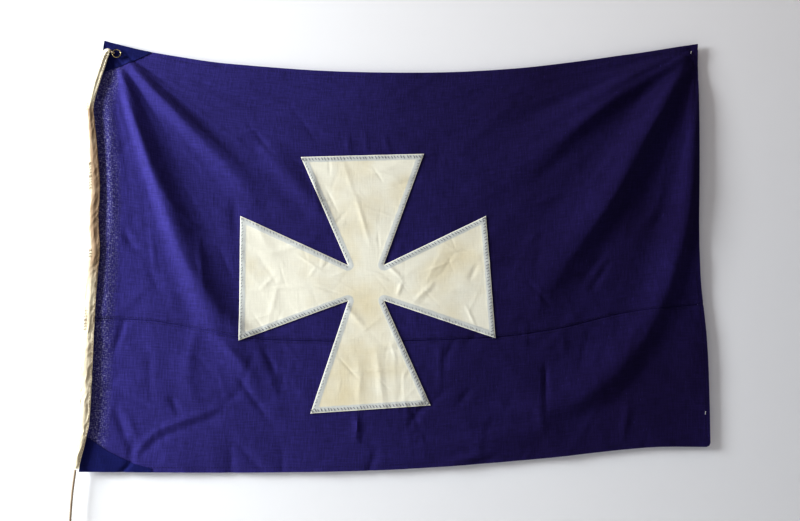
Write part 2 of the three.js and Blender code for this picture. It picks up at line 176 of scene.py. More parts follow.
# Each fold: points along its crest, its height towards the viewer, its width at both ends, and
# how much narrower the flank on the right of the crest's direction is than the one on its left.
FOLDS = [
    ([(5, -30), (48, -165), (100, -305), (170, -485), (236, -620), (330, -760)], 22.3, (14, 54), 0.6),
    ([(20, -15), (95, -100), (180, -185), (265, -270), (315, -345)], 15, (12, 33), 0.75),
    ([(315, -205), (400, -290), (475, -400)], 7, (20, 24), 1.0),
    ([(1300, 25), (1090, -95), (860, -290)], 13, (13, 32), 1.8),
    ([(1295, 5), (1205, -135), (1110, -295), (1005, -435), (885, -570)], 21, (13, 40), 1.8),
    ([(1311, -40), (1290, -225), (1262, -390), (1190, -575), (1085, -710), (900, -815), (630, -850)],
     14, (14, 34), 1.6),
    ([(-22, -90), (-8, -260), (-8, -420), (-14, -600), (-20, -700)], 4, (11, 14), 0.9),
    ([(55, -872), (99, -823), (171, -795), (285, -755)], 3.4, (5, 8), 0.7),
    ([(62, -880), (110, -836), (180, -808), (270, -778)], -2.2, (5, 7), 1.0),
    ([(150, -440), (222, -557), (301, -625), (338, -715), (360, -790)], 3.5, (12, 16), 1.2),
    ([(187, -586), (165, -700), (193, -790)], 3, (10, 16), 1.2),
    ([(237, -630), (323, -731)], 3, (8, 12), 1.0),
    ([(1195, -47), (1107, -96), (918, -259)], 4, (8, 14), 1.6),
    ([(640, -845), (980, -800), (1115, -760), (1215, -690)], -4, (16, 22), 1.0),
]
# Creases pressed into the cloth: start, end, height, width.
CREASES = [
    ((1027, -71), (1030, -440), 0.8, 3), ((1075, -262), (1118, -198), 2.0, 6),
    ((1040, -300), (1092, -236), 1.6, 6), ((505, -165), (512, -228), 1.8, 5),
    ((545, -160), (550, -225), 1.6, 6), ((585, -165), (600, -222), 1.8, 5),
    ((640, -905), (620, -640), 1.0, 4), ((610, -800), (604, -560), 1.2, 4),
    ((455, -660), (600, -650), 0.9, 3), ((670, -880), (664, -790), 1.1, 4),
]
CRUMPLES = 260  # small random creases over the blue cloth
CRUMPLE_SEED = 7
CROSS_FOLDS = [((586, -462), (628, -500), 1.8, 5), ((628, -500), (612, -540), 1.5, 4),
               ((612, -540), (690, -560), 1.2, 4), ((640, -560), (705, -495), 1.3, 5),
               ((272, -520), (480, -516), 0.6, 2.5), ((600, -520), (825, -528), 0.7, 2.5),
               ((440, -702), (660, -694), 0.7, 2.5), ((520, -300), (560, -440), 1.0, 5)]
CROSS_CREASES = 220  # over the square that holds the cross
CROSS_SEED = 11
GRID = 3.0  # spacing of the points at which the folds are worked out
# Wrinkles that spread from each top corner: their height, and how far they reach.
SPREAD_HEIGHT = 4.2
SPREAD_REACH = 750.0
# Wrinkles all over the cloth: their width and their height.
WRINKLES = ((160, 3.2), (70, 1.9), (34, 0.8))


# ---------------------------------------------------------------- colour


def linear(hex_colour):
    """An sRGB hex colour as linear red, green and blue."""
    channels = [int(hex_colour[i:i + 2], 16) / 255 for i in (1, 3, 5)]
    return tuple(c / 12.92 if c <= 0.04045 else ((c + 0.055) / 1.055) ** 2.4 for c in channels)


def colour(name, description, hex_colour):
    return bpy.props.FloatVectorProperty(
        name=name, description=description, subtype="COLOR", size=3, min=0, max=1,
        default=linear(hex_colour))


def length(name, description, millimetres):
    return bpy.props.FloatProperty(
        name=name, description=description, default=millimetres * MM, unit="LENGTH",
        min=0, precision=5)


class FlagSizes(bpy.types.PropertyGroup):
    """The sizes that a user would change."""

    cloth: length("Cloth", "Thickness of one layer of bunting", 0.7)
    mesh_step: length("Mesh step", "Spacing of the cloth's mesh points", 5.0)
    thread_pitch: length("Thread pitch", "Spacing of the bunting's drawn threads", 3.0)
    canvas_pitch: length("Canvas pitch", "Spacing of the heading's drawn threads", 2.4)
    hand_stitch: length("Hand stitch", "Spacing of the whip stitches round the cross", 7.0)
    hem_stitch: length("Hem stitch", "Spacing of the running stitches in the hems", 6.0)
    lay: length("Lay", "Length of one turn of the rope's strands", 17.0)
    fold_depth: bpy.props.FloatProperty(
        name="Fold depth", description="Scales every fold and crease", default=1.0, min=0, max=2)


class FlagColours(bpy.types.PropertyGroup):
    """The dyes and finishes that a user would change."""

    # The blue goes from the faded colour below at the hoist to this one at the fly: partly fading of the
    # dye, partly painted light at the hoist, nearer the window light, and painted shade towards the fly.
    bunting: colour("Bunting", "Blue worsted bunting, towards the fly", "#20103A")
    faded: colour("Faded bunting", "The same blue, faded towards the hoist", "#3E3776")
    patch: colour("Patches", "The less faded corner patches", "#1E2158")
    cross: colour("Cross", "Off-white wool", "#E3DECC")
    aged: colour("Aged wool", "Tan age marks on the cross", "#D6C8A4")
    turning: colour("Turned edge", "White wool where blue lies behind it", "#C8C8C1")
    thread: colour("Sewing thread", "Grey linen thread", "#7A7A80")
    canvas: colour("Canvas", "Cream cotton duck", "#D8CEB4")
    # This tan also stands for the painted shade on the heading, away from the light.
    canvas_dirt_and_shade: colour("Canvas dirt", "Handled, yellowed canvas", "#957F68")
    hemp: colour("Hemp", "Tan hemp rope", "#A8967F")
    brass: colour("Brass", "Dull yellow brass", "#A89A74")
    tarnish: colour("Tarnish", "Brown tarnish in the hollows", "#6E6148")
    wall: colour("Wall", "Matt plaster wall", "#E9E7E5")
    floor: colour("Floor", "Matt pale floor", "#C9C6C1")


# ---------------------------------------------------------------- lines


def smooth_line(points):
    """A smooth line through points sorted by their first number, as a function of it, in metres."""
    xs, ys = (np.array(points, float) * MM).T
    before = np.r_[0, np.arange(len(xs) - 1)]
    after = np.r_[np.arange(1, len(xs)), len(xs) - 1]
    slope = (ys[after] - ys[before]) / (xs[after] - xs[before])

    def height(at):
        at = np.asarray(at, float)
        i = np.clip(np.searchsorted(xs, at) - 1, 0, len(xs) - 2)
        span = xs[i + 1] - xs[i]
        t = np.clip((at - xs[i]) / span, 0, 1)
        rise = t * t * (3 - 2 * t)
        ends = t * (1 - t) ** 2 * slope[i] - t * t * (1 - t) * slope[i + 1]
        return ys[i] + (ys[i + 1] - ys[i]) * rise + span * ends

    return height


top_edge = smooth_line(TOP_EDGE)
seam_line = smooth_line(SEAM)
bottom_edge = smooth_line(BOTTOM_EDGE)
hoist_edge = smooth_line(HOIST_EDGE)
fly_edge = smooth_line(FLY_EDGE)


def curve_through(points, count):
    """A Catmull-Rom curve through points, as count evenly spaced points."""
    points = np.array(points, float)
    padded = np.vstack([2 * points[0] - points[1], points, 2 * points[-1] - points[-2]])
    fine = []
    for a, b, c, d in zip(padded, padded[1:], padded[2:], padded[3:]):
        t = np.linspace(0, 1, 24, endpoint=False)[:, None]
        fine.append(0.5 * (2 * b + (c - a) * t + (2 * a - 5 * b + 4 * c - d) * t ** 2
                           + (3 * b - a - 3 * c + d) * t ** 3))
    fine = np.vstack([*fine, points[-1:]])
    walked = np.r_[0, np.cumsum(np.linalg.norm(np.diff(fine, axis=0), axis=1))]
    at = np.linspace(0, walked[-1], count)
    return np.stack([np.interp(at, walked, axis) for axis in fine.T], -1)


def line_distance(points, line):
    """Each point's distance to a line, its side of it (1 left, -1 right) and its place along it."""
    best = np.full(len(points), np.inf)
    side = np.ones(len(points))
    along = np.zeros(len(points))
    lengths = np.linalg.norm(np.diff(line, axis=0), axis=1)
    starts = np.r_[0, np.cumsum(lengths)]
    for a, b, start, span in zip(line, line[1:], starts, lengths):
        t = np.clip((points - a) @ (b - a) / span ** 2, 0, 1)
        off = points - (a + t[:, None] * (b - a))
        distance = np.linalg.norm(off, axis=1)
        nearer = distance < best
        turn = (b - a)[0] * off[:, 1] - (b - a)[1] * off[:, 0]
        best[nearer] = distance[nearer]
        side[nearer] = np.sign(turn[nearer])
        along[nearer] = (start + t[nearer] * span) / starts[-1]
    return best, side, along


# ---------------------------------------------------------------- the hung surface


def fold_rise(points, crest, height, widths, right):
    """How far one fold lifts the cloth, with a flank of its own width on each side."""
    distance, side, along = line_distance(points, curve_through(np.array(crest) * MM, 28))
    width = (widths[0] + (widths[1] - widths[0]) * along) * MM
    width = np.where(side < 0, width * right, width)
    swell = np.sin(np.pi * np.clip(along, 0, 1) ** 0.7) ** 0.8
    return height * MM * swell * np.exp(-(distance / width) ** 2)


def crease_rise(points, start, end, height, width):
    """How far one straight crease lifts the cloth, fading at both ends."""
    start, end = np.array(start) * MM, np.array(end) * MM
    middle, half = (start + end) / 2, np.linalg.norm(end - start) / 2
    near = np.linalg.norm(points - middle, axis=1) < half + 4 * width * MM
    direction = (end - start) / (2 * half)
    along = (points[near] - middle) @ direction
    across = (points[near] - middle) @ np.array((-direction[1], direction[0]))
    fade = np.clip(1 - (along / half) ** 2, 0, 1) ** 1.5
    rise = np.zeros(len(points))
    rise[near] = height * MM * fade * np.exp(-np.abs(across / (width * MM)) ** 1.6)
    return rise


def crumples():
    """Small random creases, most of them pointing up to the nearer top corner."""
    draw = np.random.default_rng(CRUMPLE_SEED)
    for _ in range(CRUMPLES):
        x, z = draw.uniform(0, 1290), -900 * draw.uniform(0, 1) ** 0.8
        corner = np.array((-28, 30)) if x < 640 else np.array((1316, 45))
        toward = np.arctan2(corner[1] - z, corner[0] - x) + draw.normal(0, 0.55)
        reach = draw.uniform(25, 85)
        step = reach * np.array((np.cos(toward), np.sin(toward)))
        low = 0.4 + 0.9 * min(1, -z / 700)
        yield (x, z) - step, (x, z) + step, draw.normal(0, 1.5) * low, draw.uniform(4, 9)


def noise_at(x, z, seed):
    """Smooth noise at many points."""
    return np.array([noise.noise((a, b, seed)) for a, b in zip(x.tolist(), z.tolist())])


def cross_creases():
    """Small hard creases in the white cloth alone."""
    draw = np.random.default_rng(CROSS_SEED)
    for _ in range(CROSS_CREASES):
        place = np.array(CROSS_CENTRE) + draw.uniform(-265, 265, 2)
        angle = draw.uniform(0, math.pi)
        step = draw.uniform(14, 55) * np.array((math.cos(angle), math.sin(angle)))
        yield place - step, place + step, draw.normal(0, 0.42), draw.uniform(2.0, 3.6)
    yield from CROSS_FOLDS


@functools.lru_cache(maxsize=None)
def drape():
    """The corner of a grid over the flag, and how far the cloth rises at its points."""
    xs = np.arange(-95, 1345, GRID) * MM
    zs = np.arange(-960, 90, GRID) * MM
    points = np.stack(np.meshgrid(xs, zs, indexing="ij"), -1).reshape(-1, 2)
    rise = sum(fold_rise(points, *fold) for fold in FOLDS)
    # The doubled cloth of the cross creases less than the bunting round it.
    depth_in = inside(points, CROSS) * line_distance(points, np.vstack([CROSS, CROSS[:1]]))[0]
    supple = 1 - 0.65 * np.clip(depth_in / (14 * MM), 0, 1)
    for ridge in [*CREASES, *crumples()]:
        rise = rise + supple * crease_rise(points, *ridge)
    x, z = points.T
    for height, edge, seed in ((HOIST_TOP, hoist_edge, 2.3), (FLY_TOP, fly_edge, 8.1)):
        reach = np.hypot(x - edge(height), z - height)
        turn = np.arctan2(z - height, x - edge(height))
        streak = noise_at(7.5 * turn, 3.2 * reach, seed) + 0.5 * noise_at(17 * turn, 6 * reach, seed + 3)
        fade = np.exp(-(reach / (SPREAD_REACH * MM)) ** 2)
        rise = rise + SPREAD_HEIGHT * MM * (0.3 - np.abs(streak)) * fade
    low = np.clip(-z / 0.6, 0.25, 1)
    for width, height in WRINKLES:
        sheared = (x + 0.35 * z) / (width * MM), (z - 0.2 * x) / (1.5 * width * MM)
        ridges = 0.25 - np.abs(noise_at(*sheared, 0.02 * width))
        rise = rise + height * MM * low * supple * ridges
    return (xs[0], zs[0]), rise.reshape(len(xs), len(zs))


def relief(points, depth):
    """How far the blue cloth's front face stands along Y at points in x and z."""
    corner, rise = drape()
    place = (np.asarray(points) - corner) / (GRID * MM)
    i, k = (np.clip(place[:, axis].astype(int), 0, rise.shape[axis] - 2) for axis in (0, 1))
    u, v = np.clip(place[:, 0] - i, 0, 1), np.clip(place[:, 1] - k, 0, 1)
    low = rise[i, k] * (1 - u) + rise[i + 1, k] * u
    high = rise[i, k + 1] * (1 - u) + rise[i + 1, k + 1] * u
    return CLOTH_FRONT * MM - depth * (low * (1 - v) + high * v)


def thread_place(points):
    """Where points of the hung cloth lie in the flat cloth: from the hoist, and from the top."""
    x, z = points.T
    left, right = hoist_edge(z), fly_edge(z)
    high, low = top_edge(x), bottom_edge(x)
    return MM * np.stack([FLAT[0] * (x - left) / (right - left), FLAT[1] * (high - z) / (high - low)], -1)


# ---------------------------------------------------------------- outlines, in metres


def span(start, end, step=EDGE_STEP * MM):
    return np.linspace(start, end, max(2, int(abs(end - start) / step) + 1))


def across(line, start, end, shift=0.0):
    x = span(start, end)
    return np.stack([x, line(x) + shift], -1)


def down(line, start, end, shift=0.0):
    z = span(start, end)
    return np.stack([line(z) + shift, z], -1)


def outline(*parts):
    """One closed outline from its sides in order, with no point twice."""
    points = np.vstack(parts)
    keep = np.linalg.norm(points - np.roll(points, 1, axis=0), axis=1) > 0.3 * MM
    return points[keep]


def refined(corners, step=EDGE_STEP * MM):
    """A straight-sided outline with points along its sides."""
    corners = np.array(corners, float)
    sides = [np.linspace(a, b, max(2, int(np.linalg.norm(b - a) / step) + 1))[:-1]
             for a, b in zip(corners, np.roll(corners, -1, axis=0))]
    return np.vstack(sides)


def inset(corners, distance):
    """A straight-sided outline moved inwards, its corners kept sharp."""
    corners = np.array(corners, float)
    x, z = corners.T
    turn = np.sign(np.sum(x * np.roll(z, -1) - np.roll(x, -1) * z))
    edge = np.roll(corners, -1, axis=0) - corners
    normal = turn * np.stack([-edge[:, 1], edge[:, 0]], -1)
    normal /= np.linalg.norm(edge, axis=1)[:, None]
    before = np.roll(normal, 1, axis=0)
    scale = distance / (1 + np.sum(before * normal, axis=1))
    return corners + (before + normal) * scale[:, None]


def inside(points, corners):
    """Which points lie inside an outline."""
    x, z = points.T
    result = np.zeros(len(points), bool)
    for (x0, z0), (x1, z1) in zip(corners, np.roll(corners, -1, axis=0)):
        crosses = (z0 > z) != (z1 > z)
        result ^= crosses & (x < (x1 - x0) * (z - z0) / (z1 - z0 + 1e-12) + x0)
    return result


def cross_corners():
    corners = []
    for turn, reach, half, shift, tilt in CROSS_ARMS:
        angle = math.radians(turn)
        places = [(-CROSS_NECK, CROSS_NECK), (shift - half, reach - half * tilt),
                  (shift + half, reach + half * tilt)]
        for side, out in places:
            corners.append((CROSS_CENTRE[0] + side * math.cos(angle) - out * math.sin(angle),
                            CROSS_CENTRE[1] + side * math.sin(angle) + out * math.cos(angle)))
    return np.array(corners) * MM


CROSS = cross_corners()
FLY_TOP, FLY_LOW = FLY_EDGE[-1][0] * MM, FLY_EDGE[0][0] * MM
HOIST_TOP, HOIST_LOW = HOIST_EDGE[-1][0] * MM, HOIST_EDGE[0][0] * MM
SEAM_START, SEAM_END = float(hoist_edge(SEAM[0][1] * MM)), float(fly_edge(SEAM[-1][1] * MM))
SEAM_AT_HOIST, SEAM_AT_FLY = float(seam_line(SEAM_START)), float(seam_line(SEAM_END))


def upper_outline(gap):
    return outline(
        across(top_edge, hoist_edge(HOIST_TOP), fly_edge(FLY_TOP)),
        down(fly_edge, FLY_TOP, SEAM_AT_FLY + gap),
        across(seam_line, fly_edge(SEAM_AT_FLY), hoist_edge(SEAM_AT_HOIST), gap),
        down(hoist_edge, SEAM_AT_HOIST + gap, HOIST_TOP))


def lower_outline(gap):
    round_off = CORNER_ROUND * MM
    corner = np.array((fly_edge(FLY_LOW), FLY_LOW))
    return outline(
        across(seam_line, hoist_edge(SEAM_AT_HOIST), fly_edge(SEAM_AT_FLY), -gap),
        down(fly_edge, SEAM_AT_FLY - gap, FLY_LOW + round_off),
        [corner + round_off * (1 - math.sqrt(0.5)) * np.array((-1, 1))],
        across(bottom_edge, corner[0] - round_off, hoist_edge(HOIST_LOW)),
        down(hoist_edge, HOIST_LOW, SEAM_AT_HOIST - gap))


def band(line, start, end, low, high):
    """The strip between two shifts of a line that runs across the flag."""
    return outline(across(line, start, end, high), across(line, end, start, low))


# ---------------------------------------------------------------- meshes


def add_mesh(name, vertices, faces, sharp=40):
    """A new smooth-shaded object, its edges sharp where faces meet at more than an angle."""
    mesh = bpy.data.meshes.new(name)
    mesh.from_pydata(np.asarray(vertices).tolist(), [], faces)
    mesh.validate()
    mesh.shade_smooth()
    mesh.set_sharp_from_angle(angle=math.radians(sharp))
    piece = bpy.data.objects.new(name, mesh)
    bpy.context.scene.collection.objects.link(piece)
    return piece


def add_attribute(piece, name, values):
    """Stores a number or a vector for each point."""
    values = np.asarray(values, float)
    kind = "FLOAT" if values.ndim == 1 else "FLOAT_VECTOR"
    attribute = piece.data.attributes.new(name, kind, "POINT")
    if values.ndim == 1:
        attribute.data.foreach_set("value", values)
    else:
        attribute.data.foreach_set("vector", values.ravel())


def triangulated(within, holes, step):
    """Points and triangles that fill what lies inside every outline and outside every hole."""

    def filled(points):
        keep = np.ones(len(points), bool)
        for rim in within:
            keep &= inside(points, rim)
        for hole in holes:
            keep &= ~inside(points, hole)
        return keep

    rims = [*within, *holes]
    axes = [np.arange(a + step / 2, b, step) for a, b in zip(rims[0].min(0), rims[0].max(0))]
    grid = np.stack(np.meshgrid(*axes), -1).reshape(-1, 2)
    grid = grid[filled(grid)]
    edges = np.vstack(rims)
    tree = KDTree(len(edges))
    for i, (x, z) in enumerate(edges):
        tree.insert((x, z, 0), i)
    tree.balance()
    grid = np.array([p for p in grid if tree.find((p[0], p[1], 0))[2] > 0.5 * step])
    loops, start = [], 0
    for line in rims:
        count = len(line)
        loops += [(start + i, start + (i + 1) % count) for i in range(count)]
        start += count
    points = np.vstack([edges, grid.reshape(-1, 2)])
    found = delaunay_2d_cdt([Vector(p) for p in points], loops, [], 0, 1e-7)
    points = np.array([v[:] for v in found[0]])
    faces = np.array(found[2])
    faces = faces[filled(points[faces].mean(1))]
    a, b, c = (points[faces[:, i]] for i in range(3))
    clockwise = (b - a)[:, 0] * (c - a)[:, 1] < (b - a)[:, 1] * (c - a)[:, 0]
    faces[clockwise] = faces[clockwise][:, ::-1]
    used, again = np.unique(faces, return_inverse=True)
    return points[used], again.reshape(faces.shape)


def add_cloth(name, sizes, within, holes=(), layer=0.0, step=None, dip=None):
    """Cloth cut to its outlines and holes, hung with the rest, `layer` layers behind the front."""
    thickness = sizes.cloth
    points, faces = triangulated(within, holes, step or sizes.mesh_step)
    front = relief(points, sizes.fold_depth) + layer * LAYER * MM
    if dip is not None:
        front = front + dip(points)
    count = len(points)
    sheet = np.stack([points[:, 0], front, points[:, 1]], -1)
    vertices = np.vstack([sheet, sheet + (0, thickness, 0)])
    directed = {(a, b) for face in faces.tolist() for a, b in zip(face, face[1:] + face[:1])}
    sides = [(b, a, a + count, b + count) for a, b in directed if (b, a) not in directed]
    sides.sort()
    piece = add_mesh(name, vertices, faces.tolist() + (faces[:, ::-1] + count).tolist() + sides)
    flat = np.zeros((count, 3))
    flat[:, :2] = thread_place(points)
    add_attribute(piece, "thread", np.vstack([flat, flat]))
    return piece


def running_stitches(row, pitch, share):
    """The ends of evenly spaced stitches along a row of points."""
    walked = np.r_[0, np.cumsum(np.linalg.norm(np.diff(row, axis=0), axis=1))]
    at = np.arange(pitch / 2, walked[-1] - pitch, pitch)
    return [np.stack([np.interp(at + shift, walked, row[:, axis]) for axis in (0, 1)], -1)
            for shift in (0, share * pitch)]


def tube_faces(rings, around, closed=False, first=0):
    """The faces of a tube of rings of points, capped at both ends unless it closes on itself."""
    faces = []
    for ring in range(rings if closed else rings - 1):
        here, there = first + ring * around, first + (ring + 1) % rings * around
        for k in range(around):
            beside = (k + 1) % around
            faces.append((here + k, here + beside, there + beside, there + k))
    if not closed:
        faces.append(tuple(first + k for k in reversed(range(around))))
        faces.append(tuple(first + (rings - 1) * around + k for k in range(around)))
    return faces


def stitch_parts(starts, ends, sizes, layer, radius, arch, outward):
    """Vertices and faces of separate stitches, short arched threads lying on the hung cloth."""
    sides, rings = 5, 5
    places = np.linspace(0, 1, rings)
    centres = [starts + (ends - starts) * t for t in places]
    heights = [relief(c, sizes.fold_depth) + layer * LAYER * MM + outward * arch * math.sin(math.pi * t)
               for c, t in zip(centres, places)]
    direction = (ends - starts) / np.linalg.norm(ends - starts, axis=1)[:, None]
    vertices, faces = [], []
    for i, (dx, dz) in enumerate(direction):
        base = len(vertices)
        for centre, height, t in zip(centres, heights, places):
            thin = radius * (0.45 + 0.55 * math.sin(math.pi * (0.12 + 0.76 * t)))
            for angle in np.arange(sides) * 2 * math.pi / sides:
                off, up = thin * math.cos(angle), thin * math.sin(angle)
                vertices.append((centre[i][0] - dz * off, height[i] + up, centre[i][1] + dx * off))
        faces += tube_faces(rings, sides, first=base)
    return vertices, faces


def heading_frames(count):
    """Points down the heading's middle, the direction across it, and half its width at each."""
    stations = np.array([(x, 0, z) for x, z, _ in HEADING]) * MM
    line = curve_through(stations, count)
    tangents = np.gradient(line, axis=0)
    tangents /= np.linalg.norm(tangents, axis=1)[:, None]
    across_line = np.stack([-tangents[:, 2], np.zeros(count), tangents[:, 0]], -1)
    walked = np.r_[0, np.cumsum(np.linalg.norm(np.diff(stations, axis=0), axis=1))]
    half = smooth_line([(w, h) for w, (_, _, h) in zip(walked / walked[-1], HEADING)])
    return line, across_line, half(np.linspace(0, 1, count) * MM)


def facing_out(piece):
    """Turns every face outwards."""
    form = bmesh.new()
    form.from_mesh(piece.data)
    bmesh.ops.recalc_face_normals(form, faces=form.faces)
    form.to_mesh(piece.data)
    form.free()


def tube_rings(centres, closed=False):
    """A sideways and an upward direction at each centre of a tube, turning as little as they can."""
    tangents = np.gradient(centres, axis=0)
    if closed:
        tangents = np.roll(centres, -1, axis=0) - np.roll(centres, 1, axis=0)
    tangents /= np.linalg.norm(tangents, axis=1)[:, None]
    side = np.cross(tangents[0], (0.0, 1.0, 0.0))
    if np.linalg.norm(side) < 0.1:
        side = np.cross(tangents[0], (0.0, 0.0, 1.0))
    sides = []
    for tangent in tangents:
        side = side - tangent * (side @ tangent)
        side = side / np.linalg.norm(side)
        sides.append(side)
    sides = np.array(sides)
    return sides, np.cross(tangents, sides)


def laid_rope(centres, radius, lay, closed=False, points=18):
    """Vertices and faces of three-strand rope along a line: its section is three lobes that turn."""
    sides, ups = tube_rings(centres, closed)
    walked = np.r_[0, np.cumsum(np.linalg.norm(np.diff(centres, axis=0), axis=1))]
    if closed:
        total = walked[-1] + np.linalg.norm(centres[0] - centres[-1])
        lay = total / max(1, round(total / lay))
    angles = np.arange(points) * 2 * math.pi / points
    vertices = []
    for centre, side, up, at in zip(centres, sides, ups, walked):
        turn = 2 * math.pi * at / lay
        lobes = np.abs(np.cos(1.5 * (angles - turn)))
        yarn = 0.018 * np.cos(12 * angles + 5 * turn)
        r = radius * (0.76 + 0.24 * lobes ** 0.7 + yarn)
        vertices += list(centre + np.outer(r * np.cos(angles), side) + np.outer(r * np.sin(angles), up))
    return vertices, tube_faces(len(centres), points, closed)


def whipping(count, turn, pitch):
    """Points of a twine wound round the rope, in millimetres, each a turn and a pitch further on."""
    at = np.arange(count)
    return np.stack([ROPE_RADIUS * np.cos(turn * at), ROPE_RADIUS * np.sin(turn * at), pitch * at], -1)


def add_parts(name, parts, sharp=60):
    """One object from several lists of vertices and faces."""
    vertices, faces = [], []
    for more, rings in parts:
        base = len(vertices)
        vertices += [tuple(v) for v in more]
        faces += [tuple(base + i for i in face) for face in rings]
    piece = add_mesh(name, vertices, faces, sharp)
    facing_out(piece)
    return piece


# ---------------------------------------------------------------- materials


def add_node(tree, kind, inputs=None, **settings):
    """Adds a node. Its inputs are values, colours or other nodes' sockets, by name or by number."""
    node = tree.nodes.new(kind)
    for name, value in settings.items():
        setattr(node, name, value)
    for name, value in (inputs or {}).items():
        socket = node.inputs[name]
        if isinstance(value, bpy.types.NodeSocket):
            tree.links.new(value, socket)
        else:
            socket.default_value = (*value, 1) if socket.type == "RGBA" else value
    return node


def blank_material(name):
    material = bpy.data.materials.new(name)
    material.use_nodes = True
    material.node_tree.nodes.clear()
    return material, material.node_tree


def uneven(tree, place, sizes, low, high, detail=4.0):
    """Soft patches as a share from 0 to 1, each of about a size in millimetres along three axes."""
    spread = add_node(tree, "ShaderNodeMapping", {"Vector": place, "Scale": [1 / (MM * a) for a in sizes]})
    patches = add_node(tree, "ShaderNodeTexNoise", {
        "Vector": spread.outputs[0], "Scale": 1.0, "Detail": detail})
    return add_node(tree, "ShaderNodeMapRange", {
        "Value": patches.outputs[0], "From Min": low, "From Max": high}).outputs[0]


def woven(name, colour_of, pitch, contrast, roughness, sheen, height):
    """Plain-woven cloth: crossing threads in relief, with slubs and uneven dyeing along them, and painted
    shade in the weave's hollows.

    colour_of makes the cloth's colour from the node tree and the thread's place in the cloth.
    """
    material, tree = blank_material(name)
    place = add_node(tree, "ShaderNodeAttribute", attribute_name="thread").outputs["Vector"]
    # At a scale of 1, one band of a wave is 2 pi / 20 wide.
    bands = 2 * math.pi / (20 * pitch)
    waves = [add_node(tree, "ShaderNodeTexWave", {
        "Vector": place, "Scale": bands, "Distortion": 1.1, "Detail": 1.0, "Detail Scale": 0.4},
        bands_direction=axis).outputs[0] for axis in ("X", "Y")]
    weave = add_node(tree, "ShaderNodeMath", {0: waves[0], 1: waves[1]}, operation="MULTIPLY")
    # Slubs are about 33 mm long and one thread wide.
    slubs = [uneven(tree, place, size, 0.35, 0.7)
             for size in ((33.33, pitch / MM, 1000), (pitch / MM, 33.33, 1000))]
    both = add_node(tree, "ShaderNodeMath", {0: slubs[0], 1: slubs[1]}, operation="ADD")
    summed = add_node(tree, "ShaderNodeMath", {0: weave.outputs[0], 1: both.outputs[0]},
                      operation="ADD").outputs[0]
    # Painted shade: the colour follows the height that the bump uses, darker in the weave's hollows.
    shade = add_node(tree, "ShaderNodeMapRange", {
        "Value": summed, "From Min": 0.2, "From Max": 2.2, "To Min": 1 - contrast,
        "To Max": 1 + 0.7 * contrast})
    tint = add_node(tree, "ShaderNodeMix", {0: 1.0, 6: colour_of(tree, place), 7: shade.outputs[0]},
                    data_type="RGBA", blend_type="MULTIPLY")
    bump = add_node(tree, "ShaderNodeBump", {"Height": summed, "Strength": 0.4, "Distance": height})
    shader = add_node(tree, "ShaderNodeBsdfPrincipled", {
        "Base Color": tint.outputs[2], "Roughness": roughness, "IOR": 1.5,
        "Specular IOR Level": 0.2, "Sheen Weight": sheen, "Sheen Roughness": 0.5,
        "Normal": bump.outputs[0]})
    add_node(tree, "ShaderNodeOutputMaterial", {"Surface": shader.outputs[0]})
    return material


def bunting_colour(deep, light):
    """Piece-dyed wool: clouds of fading; lighter towards the hoist and darker towards the fly, partly fading
    and partly painted light and painted shade; a pale strip by the heading, a painted highlight; rare pale
    fibres.
    """
    # Painted highlight: a paler blue for the strip where the cloth beside the heading catches the light.
    lit_strip = tuple(0.9 * c + 0.26 for c in light)
    fibre = tuple(min(1, 1.8 * c + 0.02) for c in light)

    def colour_of(tree, place):
        from_hoist = add_node(tree, "ShaderNodeSeparateXYZ", {0: place}).outputs[0]
        # Painted light and shade: the share of the paler blue falls from the hoist, nearer the window light,
        # to the fly, partly for fading of the dye.
        toward_fly = add_node(tree, "ShaderNodeMapRange", {
            "Value": from_hoist, "From Max": 1.0, "To Min": 1.0, "To Max": 0.1}).outputs[0]
        clouds = uneven(tree, place, (312.5, 312.5, 312.5), 0.3, 0.7)
        faded = add_node(tree, "ShaderNodeMath", {0: clouds, 1: 0.25, 2: toward_fly},
                         operation="MULTIPLY_ADD", use_clamp=True).outputs[0]
        base = add_node(tree, "ShaderNodeMix", {0: faded, 6: deep, 7: light}, data_type="RGBA").outputs[2]
        # The painted highlight strip ends 30 to 54 mm from the hoist. Its pale threads show for about 7 mm
        # at a time.
        strip = add_node(tree, "ShaderNodeMapRange", {
            "Value": from_hoist, "From Min": 54 * MM, "From Max": 30 * MM}).outputs[0]
        dashes = [uneven(tree, place, size, 0.42, 0.6, 2.0)
                  for size in ((6.67, 1.923, 1000), (1.923, 6.67, 1000))]
        specks = add_node(tree, "ShaderNodeMath", {0: dashes[0], 1: dashes[1]},
                          operation="MULTIPLY").outputs[0]
        lit_specks = add_node(tree, "ShaderNodeMath", {0: strip, 1: specks}, operation="MULTIPLY").outputs[0]
        strip_colour = add_node(tree, "ShaderNodeMix", {0: lit_specks, 6: base, 7: lit_strip}, data_type="RGBA")
        fibres = uneven(tree, place, (1.11, 16.67, 1000), 0.72, 0.8, 2.0)
        return add_node(tree, "ShaderNodeMix", {0: fibres, 6: strip_colour.outputs[2], 7: fibre},
                        data_type="RGBA").outputs[2]
    return colour_of


